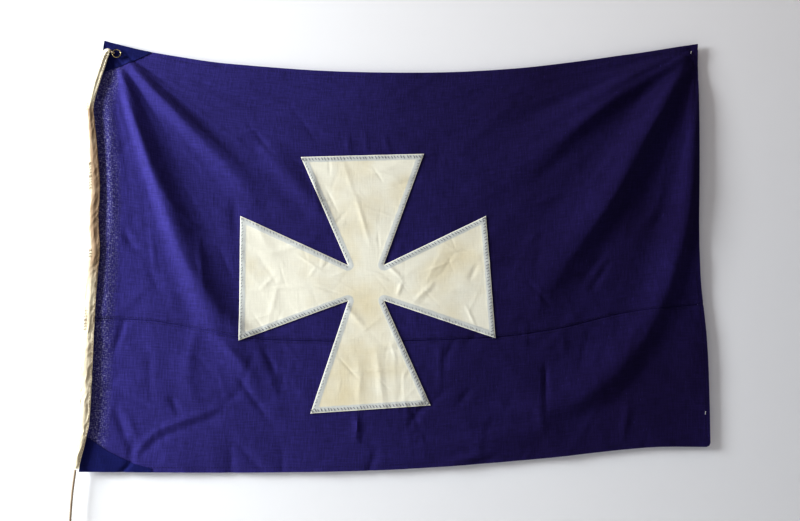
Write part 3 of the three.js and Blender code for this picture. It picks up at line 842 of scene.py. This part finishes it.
def cross_colour(cross, aged, turning):
    """White wool: a white rim, a greyish turned border over the blue, then cream with tan marks."""
    def colour_of(tree, place):
        edge = add_node(tree, "ShaderNodeAttribute", attribute_name="edge").outputs["Fac"]
        wander = uneven(tree, place, (11.11, 11.11, 11.11), 0.2, 0.8)
        ragged = add_node(tree, "ShaderNodeMath", {0: wander, 1: 1.6 * MM, 2: edge},
                          operation="MULTIPLY_ADD").outputs[0]
        marks = uneven(tree, place, (166.7, 166.7, 166.7), 0.46, 0.78)
        fill = add_node(tree, "ShaderNodeMix", {0: marks, 6: cross, 7: aged}, data_type="RGBA").outputs[2]
        inward = add_node(tree, "ShaderNodeMapRange", {
            "Value": ragged, "From Min": 12.4 * MM, "From Max": 14.6 * MM}).outputs[0]
        border = add_node(tree, "ShaderNodeMix", {0: inward, 6: turning, 7: fill}, data_type="RGBA")
        rim = add_node(tree, "ShaderNodeMapRange", {
            "Value": ragged, "From Min": 3.0 * MM, "From Max": 1.6 * MM}).outputs[0]
        return add_node(tree, "ShaderNodeMix", {0: rim, 6: border.outputs[2], 7: cross},
                        data_type="RGBA").outputs[2]
    return colour_of


def canvas_colour(canvas, dirty_and_shaded):
    """Cotton duck: cream, turning tan with soft noise and where the inner attribute is high: handled dirt,
    and painted shade over the heading away from its lit left edge.
    """
    def colour_of(tree, place):
        side = add_node(tree, "ShaderNodeAttribute", attribute_name="inner").outputs["Fac"]
        dirt = uneven(tree, place, (38.46, 38.46, 38.46), 0.35, 0.75)
        lean = add_node(tree, "ShaderNodeMath", {0: dirt, 1: 0.35, 2: side},
                        operation="MULTIPLY_ADD").outputs[0]
        amount = add_node(tree, "ShaderNodeMapRange", {
            "Value": lean, "From Min": 0.2, "From Max": 1.1}).outputs[0]
        return add_node(tree, "ShaderNodeMix", {0: amount, 6: canvas, 7: dirty_and_shaded},
                        data_type="RGBA").outputs[2]
    return colour_of


def plain_colour(first, second, size):
    """Two shades of one dye in soft clouds of a size in millimetres."""
    def colour_of(tree, place):
        clouds = uneven(tree, place, (size, size, size), 0.35, 0.65)
        return add_node(tree, "ShaderNodeMix", {0: clouds, 6: first, 7: second}, data_type="RGBA").outputs[2]
    return colour_of


def fibrous(name, shade, dark, fibre, roughness, sheen):
    """Spun fibre in the round, such as rope or sewing thread: fine hairs and uneven shade."""
    material, tree = blank_material(name)
    place = add_node(tree, "ShaderNodeTexCoord").outputs["Object"]
    hairs = uneven(tree, place, (fibre, fibre, fibre), 0.3, 0.7, 3.0)
    clouds = uneven(tree, place, (25, 25, 25), 0.3, 0.75)
    both = add_node(tree, "ShaderNodeMath", {0: hairs, 1: clouds}, operation="MULTIPLY").outputs[0]
    base = add_node(tree, "ShaderNodeMix", {0: both, 6: shade, 7: dark}, data_type="RGBA").outputs[2]
    bump = add_node(tree, "ShaderNodeBump", {
        "Height": hairs, "Strength": 0.6, "Distance": 0.3 * fibre * MM}).outputs[0]
    shader = add_node(tree, "ShaderNodeBsdfPrincipled", {
        "Base Color": base, "Roughness": roughness, "IOR": 1.5, "Specular IOR Level": 0.3,
        "Sheen Weight": sheen, "Normal": bump})
    add_node(tree, "ShaderNodeOutputMaterial", {"Surface": shader.outputs[0]})
    return material


def drawn_brass(bright, tarnished):
    """Drawn brass wire, left to tarnish: warm dull metal, brown where fingers don't rub it."""
    material, tree = blank_material("drawn_brass_tarnished")
    place = add_node(tree, "ShaderNodeTexCoord").outputs["Object"]
    # Tarnish spots are about 2 mm, draw lines about 0.3 mm.
    spots = uneven(tree, place, (2, 2, 2), 0.42, 0.62)
    lines = uneven(tree, place, (0.3, 0.3, 0.3), 0.3, 0.7)
    base = add_node(tree, "ShaderNodeMix", {0: spots, 6: bright, 7: tarnished}, data_type="RGBA").outputs[2]
    rough = add_node(tree, "ShaderNodeMapRange", {"Value": spots, "To Min": 0.34, "To Max": 0.62}).outputs[0]
    bump = add_node(tree, "ShaderNodeBump", {"Height": lines, "Strength": 0.3, "Distance": 0.05 * MM})
    shader = add_node(tree, "ShaderNodeBsdfPrincipled", {
        "Base Color": base, "Metallic": 1.0, "Roughness": rough, "Normal": bump.outputs[0]})
    add_node(tree, "ShaderNodeOutputMaterial", {"Surface": shader.outputs[0]})
    return material


def plaster(name, shade, front_only=False):
    """Matt emulsion on plaster: pale, flat, with a faint roller texture of about 3 mm."""
    material, tree = blank_material(name)
    place = add_node(tree, "ShaderNodeTexCoord").outputs["Object"]
    texture = uneven(tree, place, (3, 3, 3), 0.3, 0.7)
    bump = add_node(tree, "ShaderNodeBump", {"Height": texture, "Strength": 0.1, "Distance": 0.1 * MM})
    surface = add_node(tree, "ShaderNodeBsdfPrincipled", {
        "Base Color": shade, "Roughness": 0.9, "Specular IOR Level": 0.2, "Normal": bump.outputs[0]})
    if front_only:
        clear = add_node(tree, "ShaderNodeBsdfTransparent").outputs[0]
        back = add_node(tree, "ShaderNodeNewGeometry").outputs["Backfacing"]
        surface = add_node(tree, "ShaderNodeMixShader", {0: back, 1: surface.outputs[0], 2: clear})
    add_node(tree, "ShaderNodeOutputMaterial", {"Surface": surface.outputs[0]})
    return material


@functools.lru_cache(maxsize=None)
def finishes():
    """Every material of the flag, by the name of its slot in the record."""
    sizes, group = bpy.context.scene.flag_sizes, bpy.context.scene.flag_colours
    dye = {name: tuple(getattr(group, name)) for name in group.__annotations__}

    def darker(name, share):
        return tuple(share * c for c in dye[name])

    # Bunting has about 1 thread a millimetre. Its threads are drawn 3 mm apart, so that they show.
    wool = sizes.thread_pitch
    return {
        # Worsted wool, piece dyed, plain woven: dull, faintly furry, with painted shade in its hollows.
        "blue_bunting": woven(
            "worsted_bunting_dyed_blue", bunting_colour(dye["bunting"], dye["faded"]), wool, 0.34, 0.92,
            0.03, 0.5 * MM),
        "corner_bunting": woven(
            "worsted_bunting_unfaded", plain_colour(dye["patch"], darker("patch", 1.15), 33.33), wool, 0.2,
            0.92, 0.03, 0.5 * MM),
        # The same weave in undyed wool: cream, with the blue showing grey through its turned edge.
        "white_bunting": woven(
            "worsted_bunting_white", cross_colour(dye["cross"], dye["aged"], dye["turning"]), wool, 0.035,
            0.9, 0.12, 0.16 * MM),
        "turned_white": woven(
            "worsted_bunting_turned", plain_colour(dye["turning"], dye["cross"], 50), wool, 0.07, 0.9,
            0.12, 0.35 * MM),
        # Cotton duck, plain woven and washed: cream, hard creased, slightly coarse.
        "heading_canvas": woven(
            "cotton_duck_canvas", canvas_colour(dye["canvas"], dye["canvas_dirt_and_shade"]), sizes.canvas_pitch,
            0.1, 0.88, 0.08, 0.3 * MM),
        # Waxed linen thread, twisted: grey, dull. Its fibres are drawn 0.4 mm wide.
        "sewing_thread": fibrous(
            "waxed_linen_thread", dye["thread"], darker("thread", 0.5), 0.4, 0.8, 0.1),
        "natural_thread": fibrous(
            "natural_linen_thread", dye["canvas_dirt_and_shade"], darker("canvas_dirt_and_shade", 0.6), 0.4, 0.8, 0.1),
        "blue_thread": fibrous(
            "cotton_thread_dyed_blue", darker("bunting", 0.8), darker("bunting", 0.45), 0.4, 0.85, 0.1),
        # Three-strand hemp, laid by hand: tan, hairy, darker in soft patches.
        "hemp_rope": fibrous("laid_hemp_rope", dye["hemp"], darker("hemp", 0.42), 0.5, 0.88, 0.2),
        "ring_brass": drawn_brass(dye["brass"], dye["tarnish"]),
    }


def finish_piece(piece, slot, *replaced, finish=None):
    """Gives a piece its material, its slot's unless another is named, and hides the CAD nodes it replaces.
    """
    piece.data.materials.append(finishes()[finish or slot])
    if replaced:
        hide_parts(*replaced)
    return piece


def hang(piece):
    """A piece of cloth beside the hoist, its transform baked into its mesh."""
    x, y, z = HINGE
    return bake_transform(piece)


# ---------------------------------------------------------------- operators


class FLAG_OT_camera(bpy.types.Operator):
    """Sets the camera a little below the flag's middle, looking slightly up and to the right."""

    bl_idname = "flag.camera"
    bl_label = "Camera"

    def execute(self, context):
        data = bpy.data.cameras.new("camera")
        data.lens = CAMERA_LENS
        data.sensor_width = 36
        data.clip_end = 50
        camera = bpy.data.objects.new("camera", data)
        context.scene.collection.objects.link(camera)
        azimuth, elevation, roll = (math.radians(a) for a in CAMERA_TURN)
        forward = Vector((math.sin(azimuth) * math.cos(elevation),
                          math.cos(azimuth) * math.cos(elevation), math.sin(elevation)))
        right = Vector((math.cos(azimuth), -math.sin(azimuth), 0))
        up = right.cross(forward)
        side = right * math.cos(roll) + up * math.sin(roll)
        top = up * math.cos(roll) - right * math.sin(roll)
        turned = Matrix((side, top, -forward)).transposed().to_4x4()
        camera.matrix_world = Matrix.Translation(CAMERA_PLACE) @ turned
        context.scene.camera = camera
        return {"FINISHED"}


class FLAG_OT_tail(bpy.types.Operator):
    """Makes the free rope below the heading, and the knot at its end."""

    bl_idname = "flag.tail"
    bl_label = "Rope tail"

    def execute(self, context):
        sizes = context.scene.flag_sizes
        route = np.array([(x, 0, z) for x, z in TAIL], float) * MM
        line = curve_through(route, 160)
        tail = add_parts("tail_rope", [laid_rope(line, ROPE_RADIUS * MM, sizes.lay)])
        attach(finish_piece(tail, "hemp_rope", "halyard_tail"), "tail")
        x, z = TAIL[-1]
        middle = np.array((x, 0, z - KNOT_HEIGHT / 2)) * MM
        # An overhand knot pulled tight: a trefoil, squashed across and drawn out along the rope.
        turn = np.linspace(0, 2 * math.pi, 90, endpoint=False)
        knot_line = middle + MM * np.stack([
            1.75 * (np.sin(turn) + 1.15 * np.sin(2 * turn)),
            -2.07 * np.sin(3 * turn),
            1.4 + 2.0 * (np.cos(turn) - 1.15 * np.cos(2 * turn))], -1)
        end = np.linspace((0, 0, 0), (1.2, -0.6, -7.9), 14) * MM + middle
        # The end is whipped with twine.
        turns = middle + MM * (np.array((0.8, -0.4, -5.4)) + whipping(60, 0.9, -0.022))
        knot = add_parts("tail_end_knot", [
            laid_rope(knot_line, 2.2 * MM, sizes.lay, closed=True),
            laid_rope(end, 2.0 * MM, sizes.lay),
            laid_rope(turns, 0.35 * MM, 4 * MM, points=8)])
        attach(finish_piece(knot, "hemp_rope", "tail_knot"), "tail")
        return {"FINISHED"}


class FLAG_OT_breadths(bpy.types.Operator):
    """Makes the two breadths of blue bunting and the felled seam that joins them."""

    bl_idname = "flag.breadths"
    bl_label = "Blue breadths"

    def execute(self, context):
        sizes = context.scene.flag_sizes
        window = refined(inset(CROSS, WINDOW_LAP * MM))

        def groove(points):
            distance = np.abs(points[:, 1] - seam_line(points[:, 0]))
            return GROOVE[0] * MM * np.exp(-(distance / (GROOVE[1] * MM)) ** 2)

        upper = add_cloth("upper_bunting", sizes, [upper_outline(SEAM_GAP * MM)], [window], dip=groove)
        hang(finish_piece(upper, "blue_bunting", "upper_breadth", "upper_breadth_margin"))
        lower = add_cloth("lower_bunting", sizes, [lower_outline(SEAM_GAP * MM)], [window], dip=groove)
        hang(finish_piece(lower, "blue_bunting", "lower_breadth", "lower_breadth_margin"))
        near_window = refined(inset(CROSS, CROSS_TURNING * MM))
        start, middle, end = SEAM_START, CROSS_CENTRE[0] * MM, SEAM_END - 1.08 * HEM * MM
        fells = []
        for name, ends, nodes in (
                ("hoist_seam_fell", (start, middle), ("margin_seam_fell", "seam_fell_hoist_side")),
                ("fly_seam_fell", (middle, end), ("seam_fell_fly_side",))):
            strip = band(seam_line, *ends, -FELL / 2 * MM, FELL / 2 * MM)
            fell = add_cloth(name, sizes, [strip], [near_window], layer=2, step=4 * MM)
            fells.append(finish_piece(fell, "blue_bunting", *nodes))
        hang(fells[0])
        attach(fells[1], "field")
        return {"FINISHED"}


class FLAG_OT_hems(bpy.types.Operator):
    """Turns the flag's three free edges to the back, and sews them and the seam."""

    bl_idname = "flag.hems"
    bl_label = "Hems"

    def execute(self, context):
        sizes = context.scene.flag_sizes
        whole = self.whole_outline()
        left = hoist_edge(HOIST_TOP)
        strips = {
            "turned_top_hem": ("top_hem", band(top_edge, left, PAST_FLY * MM, -HEM * MM, 0.0)),
            "turned_bottom_hem": (
                "bottom_hem", band(bottom_edge, hoist_edge(HOIST_LOW), PAST_FLY * MM, 0.0, HEM * MM)),
            "turned_fly_hem": ("fly_hem", outline(
                down(fly_edge, FLY_TOP - 1.03 * HEM * MM, FLY_LOW + 1.03 * HEM * MM),
                down(fly_edge, FLY_LOW + 1.03 * HEM * MM, FLY_TOP - 1.03 * HEM * MM, -HEM * MM))),
        }
        pieces = []
        for name, (node, strip) in strips.items():
            hem = add_cloth(name, sizes, [strip, whole], layer=1, step=4 * MM)
            pieces.append(finish_piece(hem, "blue_bunting", node))
        hang(pieces[0])
        hang(pieces[1])
        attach(pieces[2], "field")
        rows = [across(top_edge, left, fly_edge(FLY_TOP) - 0.010, -(HEM - 2) * MM),
                across(bottom_edge, hoist_edge(HOIST_LOW), fly_edge(FLY_LOW) - 0.010, (HEM - 2) * MM),
                down(fly_edge, FLY_TOP - 0.012, FLY_LOW + 0.012, -(HEM - 2) * MM)]
        rows += [across(seam_line, SEAM_START, SEAM_END - 0.014, shift * MM)
                 for shift in (-4.5, 4.5)]
        starts, ends = (np.vstack(found) for found in zip(*(
            running_stitches(row, sizes.hem_stitch, 0.55) for row in rows)))
        near_window = refined(inset(CROSS, CROSS_TURNING * MM))
        open_cloth = ~inside(starts, near_window) & ~inside(ends, near_window)
        starts, ends = starts[open_cloth], ends[open_cloth]
        back = stitch_parts(starts, ends, sizes, 3, HEM_THREAD[0] * MM, 0.3 * MM, 1)
        not_crossed = ~inside(starts, CROSS) & ~inside(ends, CROSS)
        front = stitch_parts(starts[not_crossed], ends[not_crossed], sizes, 0, HEM_THREAD[1] * MM,
                             0.25 * MM, -1)
        stitches = add_parts("hem_running_stitches", [back, front], sharp=80)
        hang(finish_piece(stitches, "blue_thread", "hem_stitching"))
        return {"FINISHED"}

    def whole_outline(self):
        return outline(
            across(top_edge, hoist_edge(HOIST_TOP), fly_edge(FLY_TOP)),
            down(fly_edge, FLY_TOP, FLY_LOW + CORNER_ROUND * MM),
            across(bottom_edge, fly_edge(FLY_LOW) - CORNER_ROUND * MM, hoist_edge(HOIST_LOW)),
            down(hoist_edge, HOIST_LOW, HOIST_TOP))


class FLAG_OT_patches(bpy.types.Operator):
    """Reinforces the two corners at the hoist with doubled bunting."""

    bl_idname = "flag.patches"
    bl_label = "Corner patches"

    def execute(self, context):
        sizes = context.scene.flag_sizes
        corners = {
            "upper_hoist_patch": ("upper_corner_patch", UPPER_PATCH, upper_outline(0.5 * MM)),
            "lower_hoist_patch": ("lower_corner_patch", LOWER_PATCH, lower_outline(0.5 * MM)),
        }
        for name, (node, shape, breadth) in corners.items():
            patch = add_cloth(name, sizes, [refined(np.array(shape) * MM), breadth], layer=-1.4, step=3 * MM)
            hang(finish_piece(patch, "corner_bunting", node))
        return {"FINISHED"}


class FLAG_OT_cross(bpy.types.Operator):
    """Sets the white cross into its window: cloth, turned edges, hand stitches and tacks."""

    bl_idname = "flag.cross"
    bl_label = "White cross"

    def execute(self, context):
        sizes = context.scene.flag_sizes
        rim = refined(CROSS)
        edge_line = np.vstack([rim, rim[:1]])

        def raised(points):
            distance = line_distance(points, edge_line)[0]
            turned = 0.35 * MM * (1 - np.clip((distance - 10.5 * MM) / (3 * MM), 0, 1))
            creased = sum(crease_rise(points, *crease) for crease in cross_creases())
            free = np.clip(distance / (14 * MM), 0, 1)
            return -turned + 0.9 * MM * np.exp(-distance / (1.5 * MM)) - creased * free

        cloth = add_cloth("cross_cloth", sizes, [rim], layer=-2, step=2.8 * MM, dip=raised)
        points = np.array([(v.co.x, v.co.z) for v in cloth.data.vertices])
        add_attribute(cloth, "edge", line_distance(points, edge_line)[0])
        finish_piece(cloth, "white_bunting", "cross_applique")
        under = add_cloth("cross_fold_under", sizes, [refined(inset(CROSS, 1 * MM))],
                          [refined(inset(CROSS, CROSS_TURNING * MM))], layer=-1, step=4 * MM)
        finish_piece(under, "turned_white", "cross_turned_edge")
        turning = add_cloth("window_fold", sizes, [refined(inset(CROSS, 2 * MM))],
                            [refined(inset(CROSS, CROSS_TURNING * MM))], layer=1, step=4 * MM)
        finish_piece(turning, "blue_bunting", "window_turning")
        stitches = self.whip_stitches(sizes)
        finish_piece(stitches, "sewing_thread", "cross_edge_stitching")
        for piece in (cloth, under, turning, stitches):
            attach(piece, "field")
        for name, (middle, slope) in TACKS.items():
            angle = math.radians(slope)
            along = np.array((math.cos(angle), math.sin(angle))) * MM
            over = np.array((-along[1], along[0]))
            starts = np.array([np.array(middle) * MM + (i - 1.5) * 2 * along - 1.3 * over for i in range(4)])
            ends = starts + 2.6 * over + 0.4 * along
            parts = stitch_parts(starts, ends, sizes, 0, 0.55 * MM, 0.5 * MM, -1)
            tack = add_parts(name.replace("tack", "bar_tack"), [parts], sharp=80)
            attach(finish_piece(tack, "turned_white", name), "field")
        return {"FINISHED"}

    def whip_stitches(self, sizes):
        """Slanted hand stitches over the cross's edge, drawn tighter on some sides."""
        draw = np.random.default_rng(3)
        found = ([], []), ([], [])
        for side, (a, b) in enumerate(zip(CROSS, np.roll(CROSS, -1, axis=0))):
            tight = side in TIGHT_SIDES
            reach = np.linalg.norm(b - a)
            along = (b - a) / reach
            inward = np.array((-along[1], along[0]))
            if not inside((a + b)[None] / 2 + 2 * MM * inward, CROSS)[0]:
                inward = -inward
            places = np.arange(3 * MM, reach - 3 * MM, sizes.hand_stitch)
            for place in places + draw.normal(0, 0.6 * MM, len(places)):
                begin = draw.uniform(2.2, 3.4) * MM
                deep = draw.uniform(8.0, 10.0) * MM if tight else draw.uniform(5.0, 8.0) * MM
                lean = draw.uniform(2.4, 4.0) * MM
                rows = found[0 if tight else 1]
                rows[0].append(a + along * place + inward * begin)
                rows[1].append(a + along * (place + lean) + inward * deep)
        parts = [stitch_parts(np.array(starts), np.array(ends), sizes, -2.3, thick * MM, 0.3 * MM, -1)
                 for (starts, ends), thick in zip(found, WHIP_THREAD)]
        return add_parts("cross_whip_stitches", parts, sharp=80)


class FLAG_OT_heading(bpy.types.Operator):
    """Folds the canvas heading round the hoist rope, and sews it over the bunting."""

    bl_idname = "flag.heading"
    bl_label = "Heading"

    def execute(self, context):
        sizes = context.scene.flag_sizes
        line, across_line, half = heading_frames(300)
        count, around = len(line), 56
        angles = np.arange(around) * 2 * math.pi / around
        walked = np.r_[0, np.cumsum(np.linalg.norm(np.diff(line, axis=0), axis=1))]
        vertices, inner, flat = [], [], []
        for i in range(count):
            share = i / (count - 1)
            gathered = np.clip(1 - share / 0.13, 0, 1)
            slack = 0.35 + 0.75 * share ** 0.8
            for angle in angles:
                side, face = math.cos(angle), math.sin(angle)
                over_rope = math.exp(-(side / 0.5) ** 2)
                deep = (1.3 + 2.4 * over_rope) * abs(face) ** 0.7
                # Soft crumples 30 mm long, hard slanted wrinkles 21 mm apart, and the gathers at the top.
                place = Vector((side * 1.3, walked[i] / (30 * MM), face * 0.9 + 7))
                crumpled = noise.noise(place) + 0.6 * noise.noise(2.3 * place)
                slanted = Vector((side * 0.8 + 3, walked[i] / (21 * MM) + 0.7 * side, 1.7))
                wrinkle = 1.5 * slack * max(-0.4, 1 - 4.5 * abs(noise.noise(slanted)))
                pleats = 0.9 * gathered * (math.sin(9 * side + 12 * share)
                                           + math.sin(walked[i] / (1.5 * MM) + 1.5 * side))
                out = 0.9 * slack * crumpled + 0.7 * wrinkle + pleats
                edge_move = 0.9 * slack * noise.noise(Vector((4.0, walked[i] / (16 * MM), face)))
                if side < 0 and any(low <= line[i][2] / MM <= high for low, high in OVERCAST):
                    edge_move -= 1.5 * abs(side) * (0.5 + 0.5 * math.sin(line[i][2] / (1.1 * MM)))
                for thickness, least, rows in ((0.0, 0.4, vertices), (-CANVAS, 0.1, inner)):
                    offset = side * (half[i] + (thickness + edge_move) * MM)
                    bulge = max(least, deep + 0.4 + out + thickness)
                    depth = np.clip(-math.copysign(bulge, face) - 1.6 * side, *HEADING_DEPTH) * MM
                    rows.append(line[i] + across_line[i] * offset + np.array((0, depth, 0)))
                flat.append((side * half[i], walked[i], 0))
        faces = []
        total = count * around
        for i in range(count - 1):
            for k in range(around):
                a, b = i * around + k, i * around + (k + 1) % around
                faces.append((a, b, b + around, a + around))
                faces.append((a + total, a + total + around, b + total + around, b + total))
        for k in range(around):
            for base, order in ((0, 1), ((count - 1) * around, -1)):
                a, b = base + k, base + (k + 1) % around
                faces.append((a, a + total, b + total, b)[::order])
        sleeve = add_mesh("canvas_heading", vertices + inner, faces, sharp=60)
        facing_out(sleeve)
        add_attribute(sleeve, "thread", np.vstack([flat, flat]))
        # Painted shade, with handled dirt: the canvas turns tan away from its lit left edge, most between
        # 130 and 450 mm below the ring; the top, which faces the light, stays nearly cream.
        shaded_and_handled = np.interp(line[:, 2], np.array((-0.9, -0.52, -0.45, -0.13, -0.105)), (0.3, 0.4, 1, 1, 0))
        side_share = np.clip((np.cos(angles) + 0.75) / 0.4, 0, 1)
        add_attribute(sleeve, "inner", np.tile(np.outer(shaded_and_handled, side_share).ravel(), 2))
        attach(finish_piece(sleeve, "heading_canvas", "hoist_heading"), "hoist")
        stitches = self.heading_stitches(line, across_line, half, walked, sizes)
        finish_piece(stitches, "sewing_thread", "heading_stitching", finish="natural_thread")
        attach(stitches, "hoist")
        return {"FINISHED"}

    def heading_stitches(self, line, across_line, half, walked, sizes):
        """A running row down the heading, and overcast loops round its outer edge in four places."""
        parts = []
        for at in np.arange(14 * MM, walked[-1] - 6 * MM, sizes.hem_stitch):
            i = int(np.searchsorted(walked, at))
            k = min(i + 1, len(line) - 1)
            centre = line[i] + across_line[i] * STITCH_ROW * half[i]
            along = line[k] - line[i - 1]
            along = along / np.linalg.norm(along)
            places = [centre + along * s * 1.7 * MM + np.array((0, -(3.1 + 0.5 * math.cos(s * 1.5)) * MM, 0))
                      for s in np.linspace(-1, 1, 5)]
            parts.append(laid_rope(np.array(places), 0.42 * MM, 3 * MM, points=6))
        for low, high in OVERCAST:
            z = np.arange(low, high, 5.5) * MM
            for place in z:
                i = int(np.argmin(np.abs(line[:, 2] - place)))
                turn = np.linspace(-0.62 * math.pi, 0.62 * math.pi, 9)
                loop = [line[i] - across_line[i] * (half[i] * 0.6 + half[i] * 0.34 * math.cos(t))
                        + np.array((0, -2.9 * MM * math.sin(t), 1.2 * MM * t)) for t in turn]
                parts.append(laid_rope(np.array(loop), 0.6 * MM, 3 * MM, points=6))
        return add_parts("heading_stitches", parts, sharp=80)


class FLAG_OT_hoist_rope(bpy.types.Operator):
    """Lays the rope inside the heading, with the eye that holds the ring."""

    bl_idname = "flag.hoist_rope"
    bl_label = "Hoist rope"

    def execute(self, context):
        sizes = context.scene.flag_sizes
        line = heading_frames(420)[0]
        throat = np.array([(-12.9, 0, 5.0), (-13.7, 0, 5.5)]) * MM
        inside_line = curve_through(np.vstack([throat, line[::12], line[-1:]]), 420)
        angle = math.radians(EYE_ANGLE)
        out = np.array((math.cos(angle), 0, math.sin(angle)))
        turn = np.linspace(0, 2 * math.pi, 48, endpoint=False)
        eye_radius = (RING_WIRE + EYE_SLACK + EYE_STRAND) * MM
        eye = RING_RADIUS * MM * out + eye_radius * (np.outer(np.cos(turn), out)
                                                    + np.outer(np.sin(turn), (0, 1, 0)))
        seat = np.array((EYE_SEAT[0], 0, EYE_SEAT[1])) * MM
        whipped = seat + MM * (np.array((0, 0, 1.4)) + whipping(70, 0.75, -0.03))
        rope = add_parts("heading_rope", [
            laid_rope(inside_line, ROPE_RADIUS * MM, sizes.lay),
            laid_rope(eye, EYE_STRAND * MM, 0.5 * sizes.lay, closed=True),
            laid_rope(whipped, 0.3 * MM, 3 * MM, points=8)])
        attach(finish_piece(rope, "hemp_rope", "hoist_rope"), "hoist")
        return {"FINISHED"}


class FLAG_OT_ring(bpy.types.Operator):
    """Bends the brass ring from drawn wire, slightly out of round, its joint brazed."""

    bl_idname = "flag.ring"
    bl_label = "Brass ring"

    def execute(self, context):
        turn = np.linspace(0, 2 * math.pi, 120, endpoint=False)
        radius = RING_RADIUS + 0.12 * np.cos(2 * turn + 0.6)
        line = np.stack([radius * np.cos(turn), 0.05 * np.sin(3 * turn), radius * np.sin(turn)], -1) * MM
        sides, ups = tube_rings(line, closed=True)
        around = np.arange(16) * 2 * math.pi / 16
        braze = 1 + 0.14 * np.exp(-((turn - 5.2) / 0.10) ** 2) - 0.07 * np.exp(-((turn - 2.88) / 0.35) ** 2)
        vertices = []
        for centre, wire, side, up in zip(line, RING_WIRE * MM * braze, sides, ups):
            vertices += list(centre + wire * (np.outer(np.cos(around), side) + np.outer(np.sin(around), up)))
        ring = add_parts("ring_wire", [(vertices, tube_faces(len(line), len(around), closed=True))])
        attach(finish_piece(ring, "ring_brass", "brass_ring"), "ring")
        return {"FINISHED"}


class FLAG_OT_stage(bpy.types.Operator):
    """Sets up the floor, the wall behind the flag, and the soft lights."""

    bl_idname = "flag.stage"
    bl_label = "Stage"

    def execute(self, context):
        colours = context.scene.flag_colours
        self.panel("floor", FLOOR, plaster("matt_plaster_floor", tuple(colours.floor)))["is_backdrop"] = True
        # The wall is seen and lit from the front only, so that the flag's back shows from behind.
        wall = self.panel("wall", WALL, plaster("matt_plaster_wall", tuple(colours.wall), front_only=True))
        wall.visible_shadow = False
        wall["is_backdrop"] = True
        world = bpy.data.worlds.new("pale room")
        world.use_nodes = True
        tree = world.node_tree
        tree.nodes.clear()
        light, sight = [add_node(tree, "ShaderNodeBackground", {
            "Color": linear(shade), "Strength": strength}).outputs[0]
            for shade, strength in (ROOM_LIGHT, ROOM_SIGHT)]
        seen = add_node(tree, "ShaderNodeLightPath").outputs["Is Camera Ray"]
        room = add_node(tree, "ShaderNodeMixShader", {0: seen, 1: light, 2: sight})
        add_node(tree, "ShaderNodeOutputWorld", {"Surface": room.outputs[0]})
        context.scene.world = world
        for light in LIGHTS:
            self.light(*light)
        context.scene.view_settings.view_transform = "Standard"
        context.scene.view_settings.look = "High Contrast"
        return {"FINISHED"}

    def panel(self, name, corners, material):
        mesh = bpy.data.meshes.new(name)
        mesh.from_pydata(corners, [], [(0, 1, 2, 3)])
        mesh.materials.append(material)
        panel = bpy.data.objects.new(name, mesh)
        bpy.context.scene.collection.objects.link(panel)
        return panel

    def light(self, name, place, target, size, power, tint):
        data = bpy.data.lights.new(name, "AREA")
        data.shape = "RECTANGLE"
        data.size, data.size_y = size
        data.energy = power
        data.color = tint
        lamp = bpy.data.objects.new(name, data)
        bpy.context.scene.collection.objects.link(lamp)
        away = Vector(place) - Vector(target)
        lamp.matrix_world = Matrix.Translation(place) @ away.to_track_quat("Z", "Y").to_matrix().to_4x4()


STEPS = (FLAG_OT_camera, FLAG_OT_tail, FLAG_OT_breadths, FLAG_OT_hems, FLAG_OT_patches, FLAG_OT_cross,
         FLAG_OT_heading, FLAG_OT_hoist_rope, FLAG_OT_ring, FLAG_OT_stage)


class FLAG_PT_panel(bpy.types.Panel):
    """Lists the flag's sizes, colours and pieces."""

    bl_idname = "FLAG_PT_panel"
    bl_label = "Bunting Flag"
    bl_space_type = "VIEW_3D"
    bl_region_type = "UI"
    bl_category = "Flag"

    def draw(self, context):
        for group in (context.scene.flag_sizes, context.scene.flag_colours):
            box = self.layout.box()
            for name in group.__annotations__:
                box.prop(group, name)
        for step in STEPS:
            self.layout.operator(step.bl_idname)


CLASSES = (FlagSizes, FlagColours, *STEPS, FLAG_PT_panel)


def register():
    for cls in CLASSES:
        bpy.utils.register_class(cls)
    bpy.types.Scene.flag_sizes = bpy.props.PointerProperty(type=FlagSizes)
    bpy.types.Scene.flag_colours = bpy.props.PointerProperty(type=FlagColours)


def unregister():
    del bpy.types.Scene.flag_colours
    del bpy.types.Scene.flag_sizes
    for cls in reversed(CLASSES):
        bpy.utils.unregister_class(cls)


def main():
    register()
    for step in STEPS:
        category, name = step.bl_idname.split(".")
        getattr(getattr(bpy.ops, category), name)()
    boxes = {"cad": CAD_BOX, "visual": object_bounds()}
    plain = {name: [[float(x) for x in corner] for corner in box] for name, box in boxes.items()}


if __name__ == "__main__":
    main()
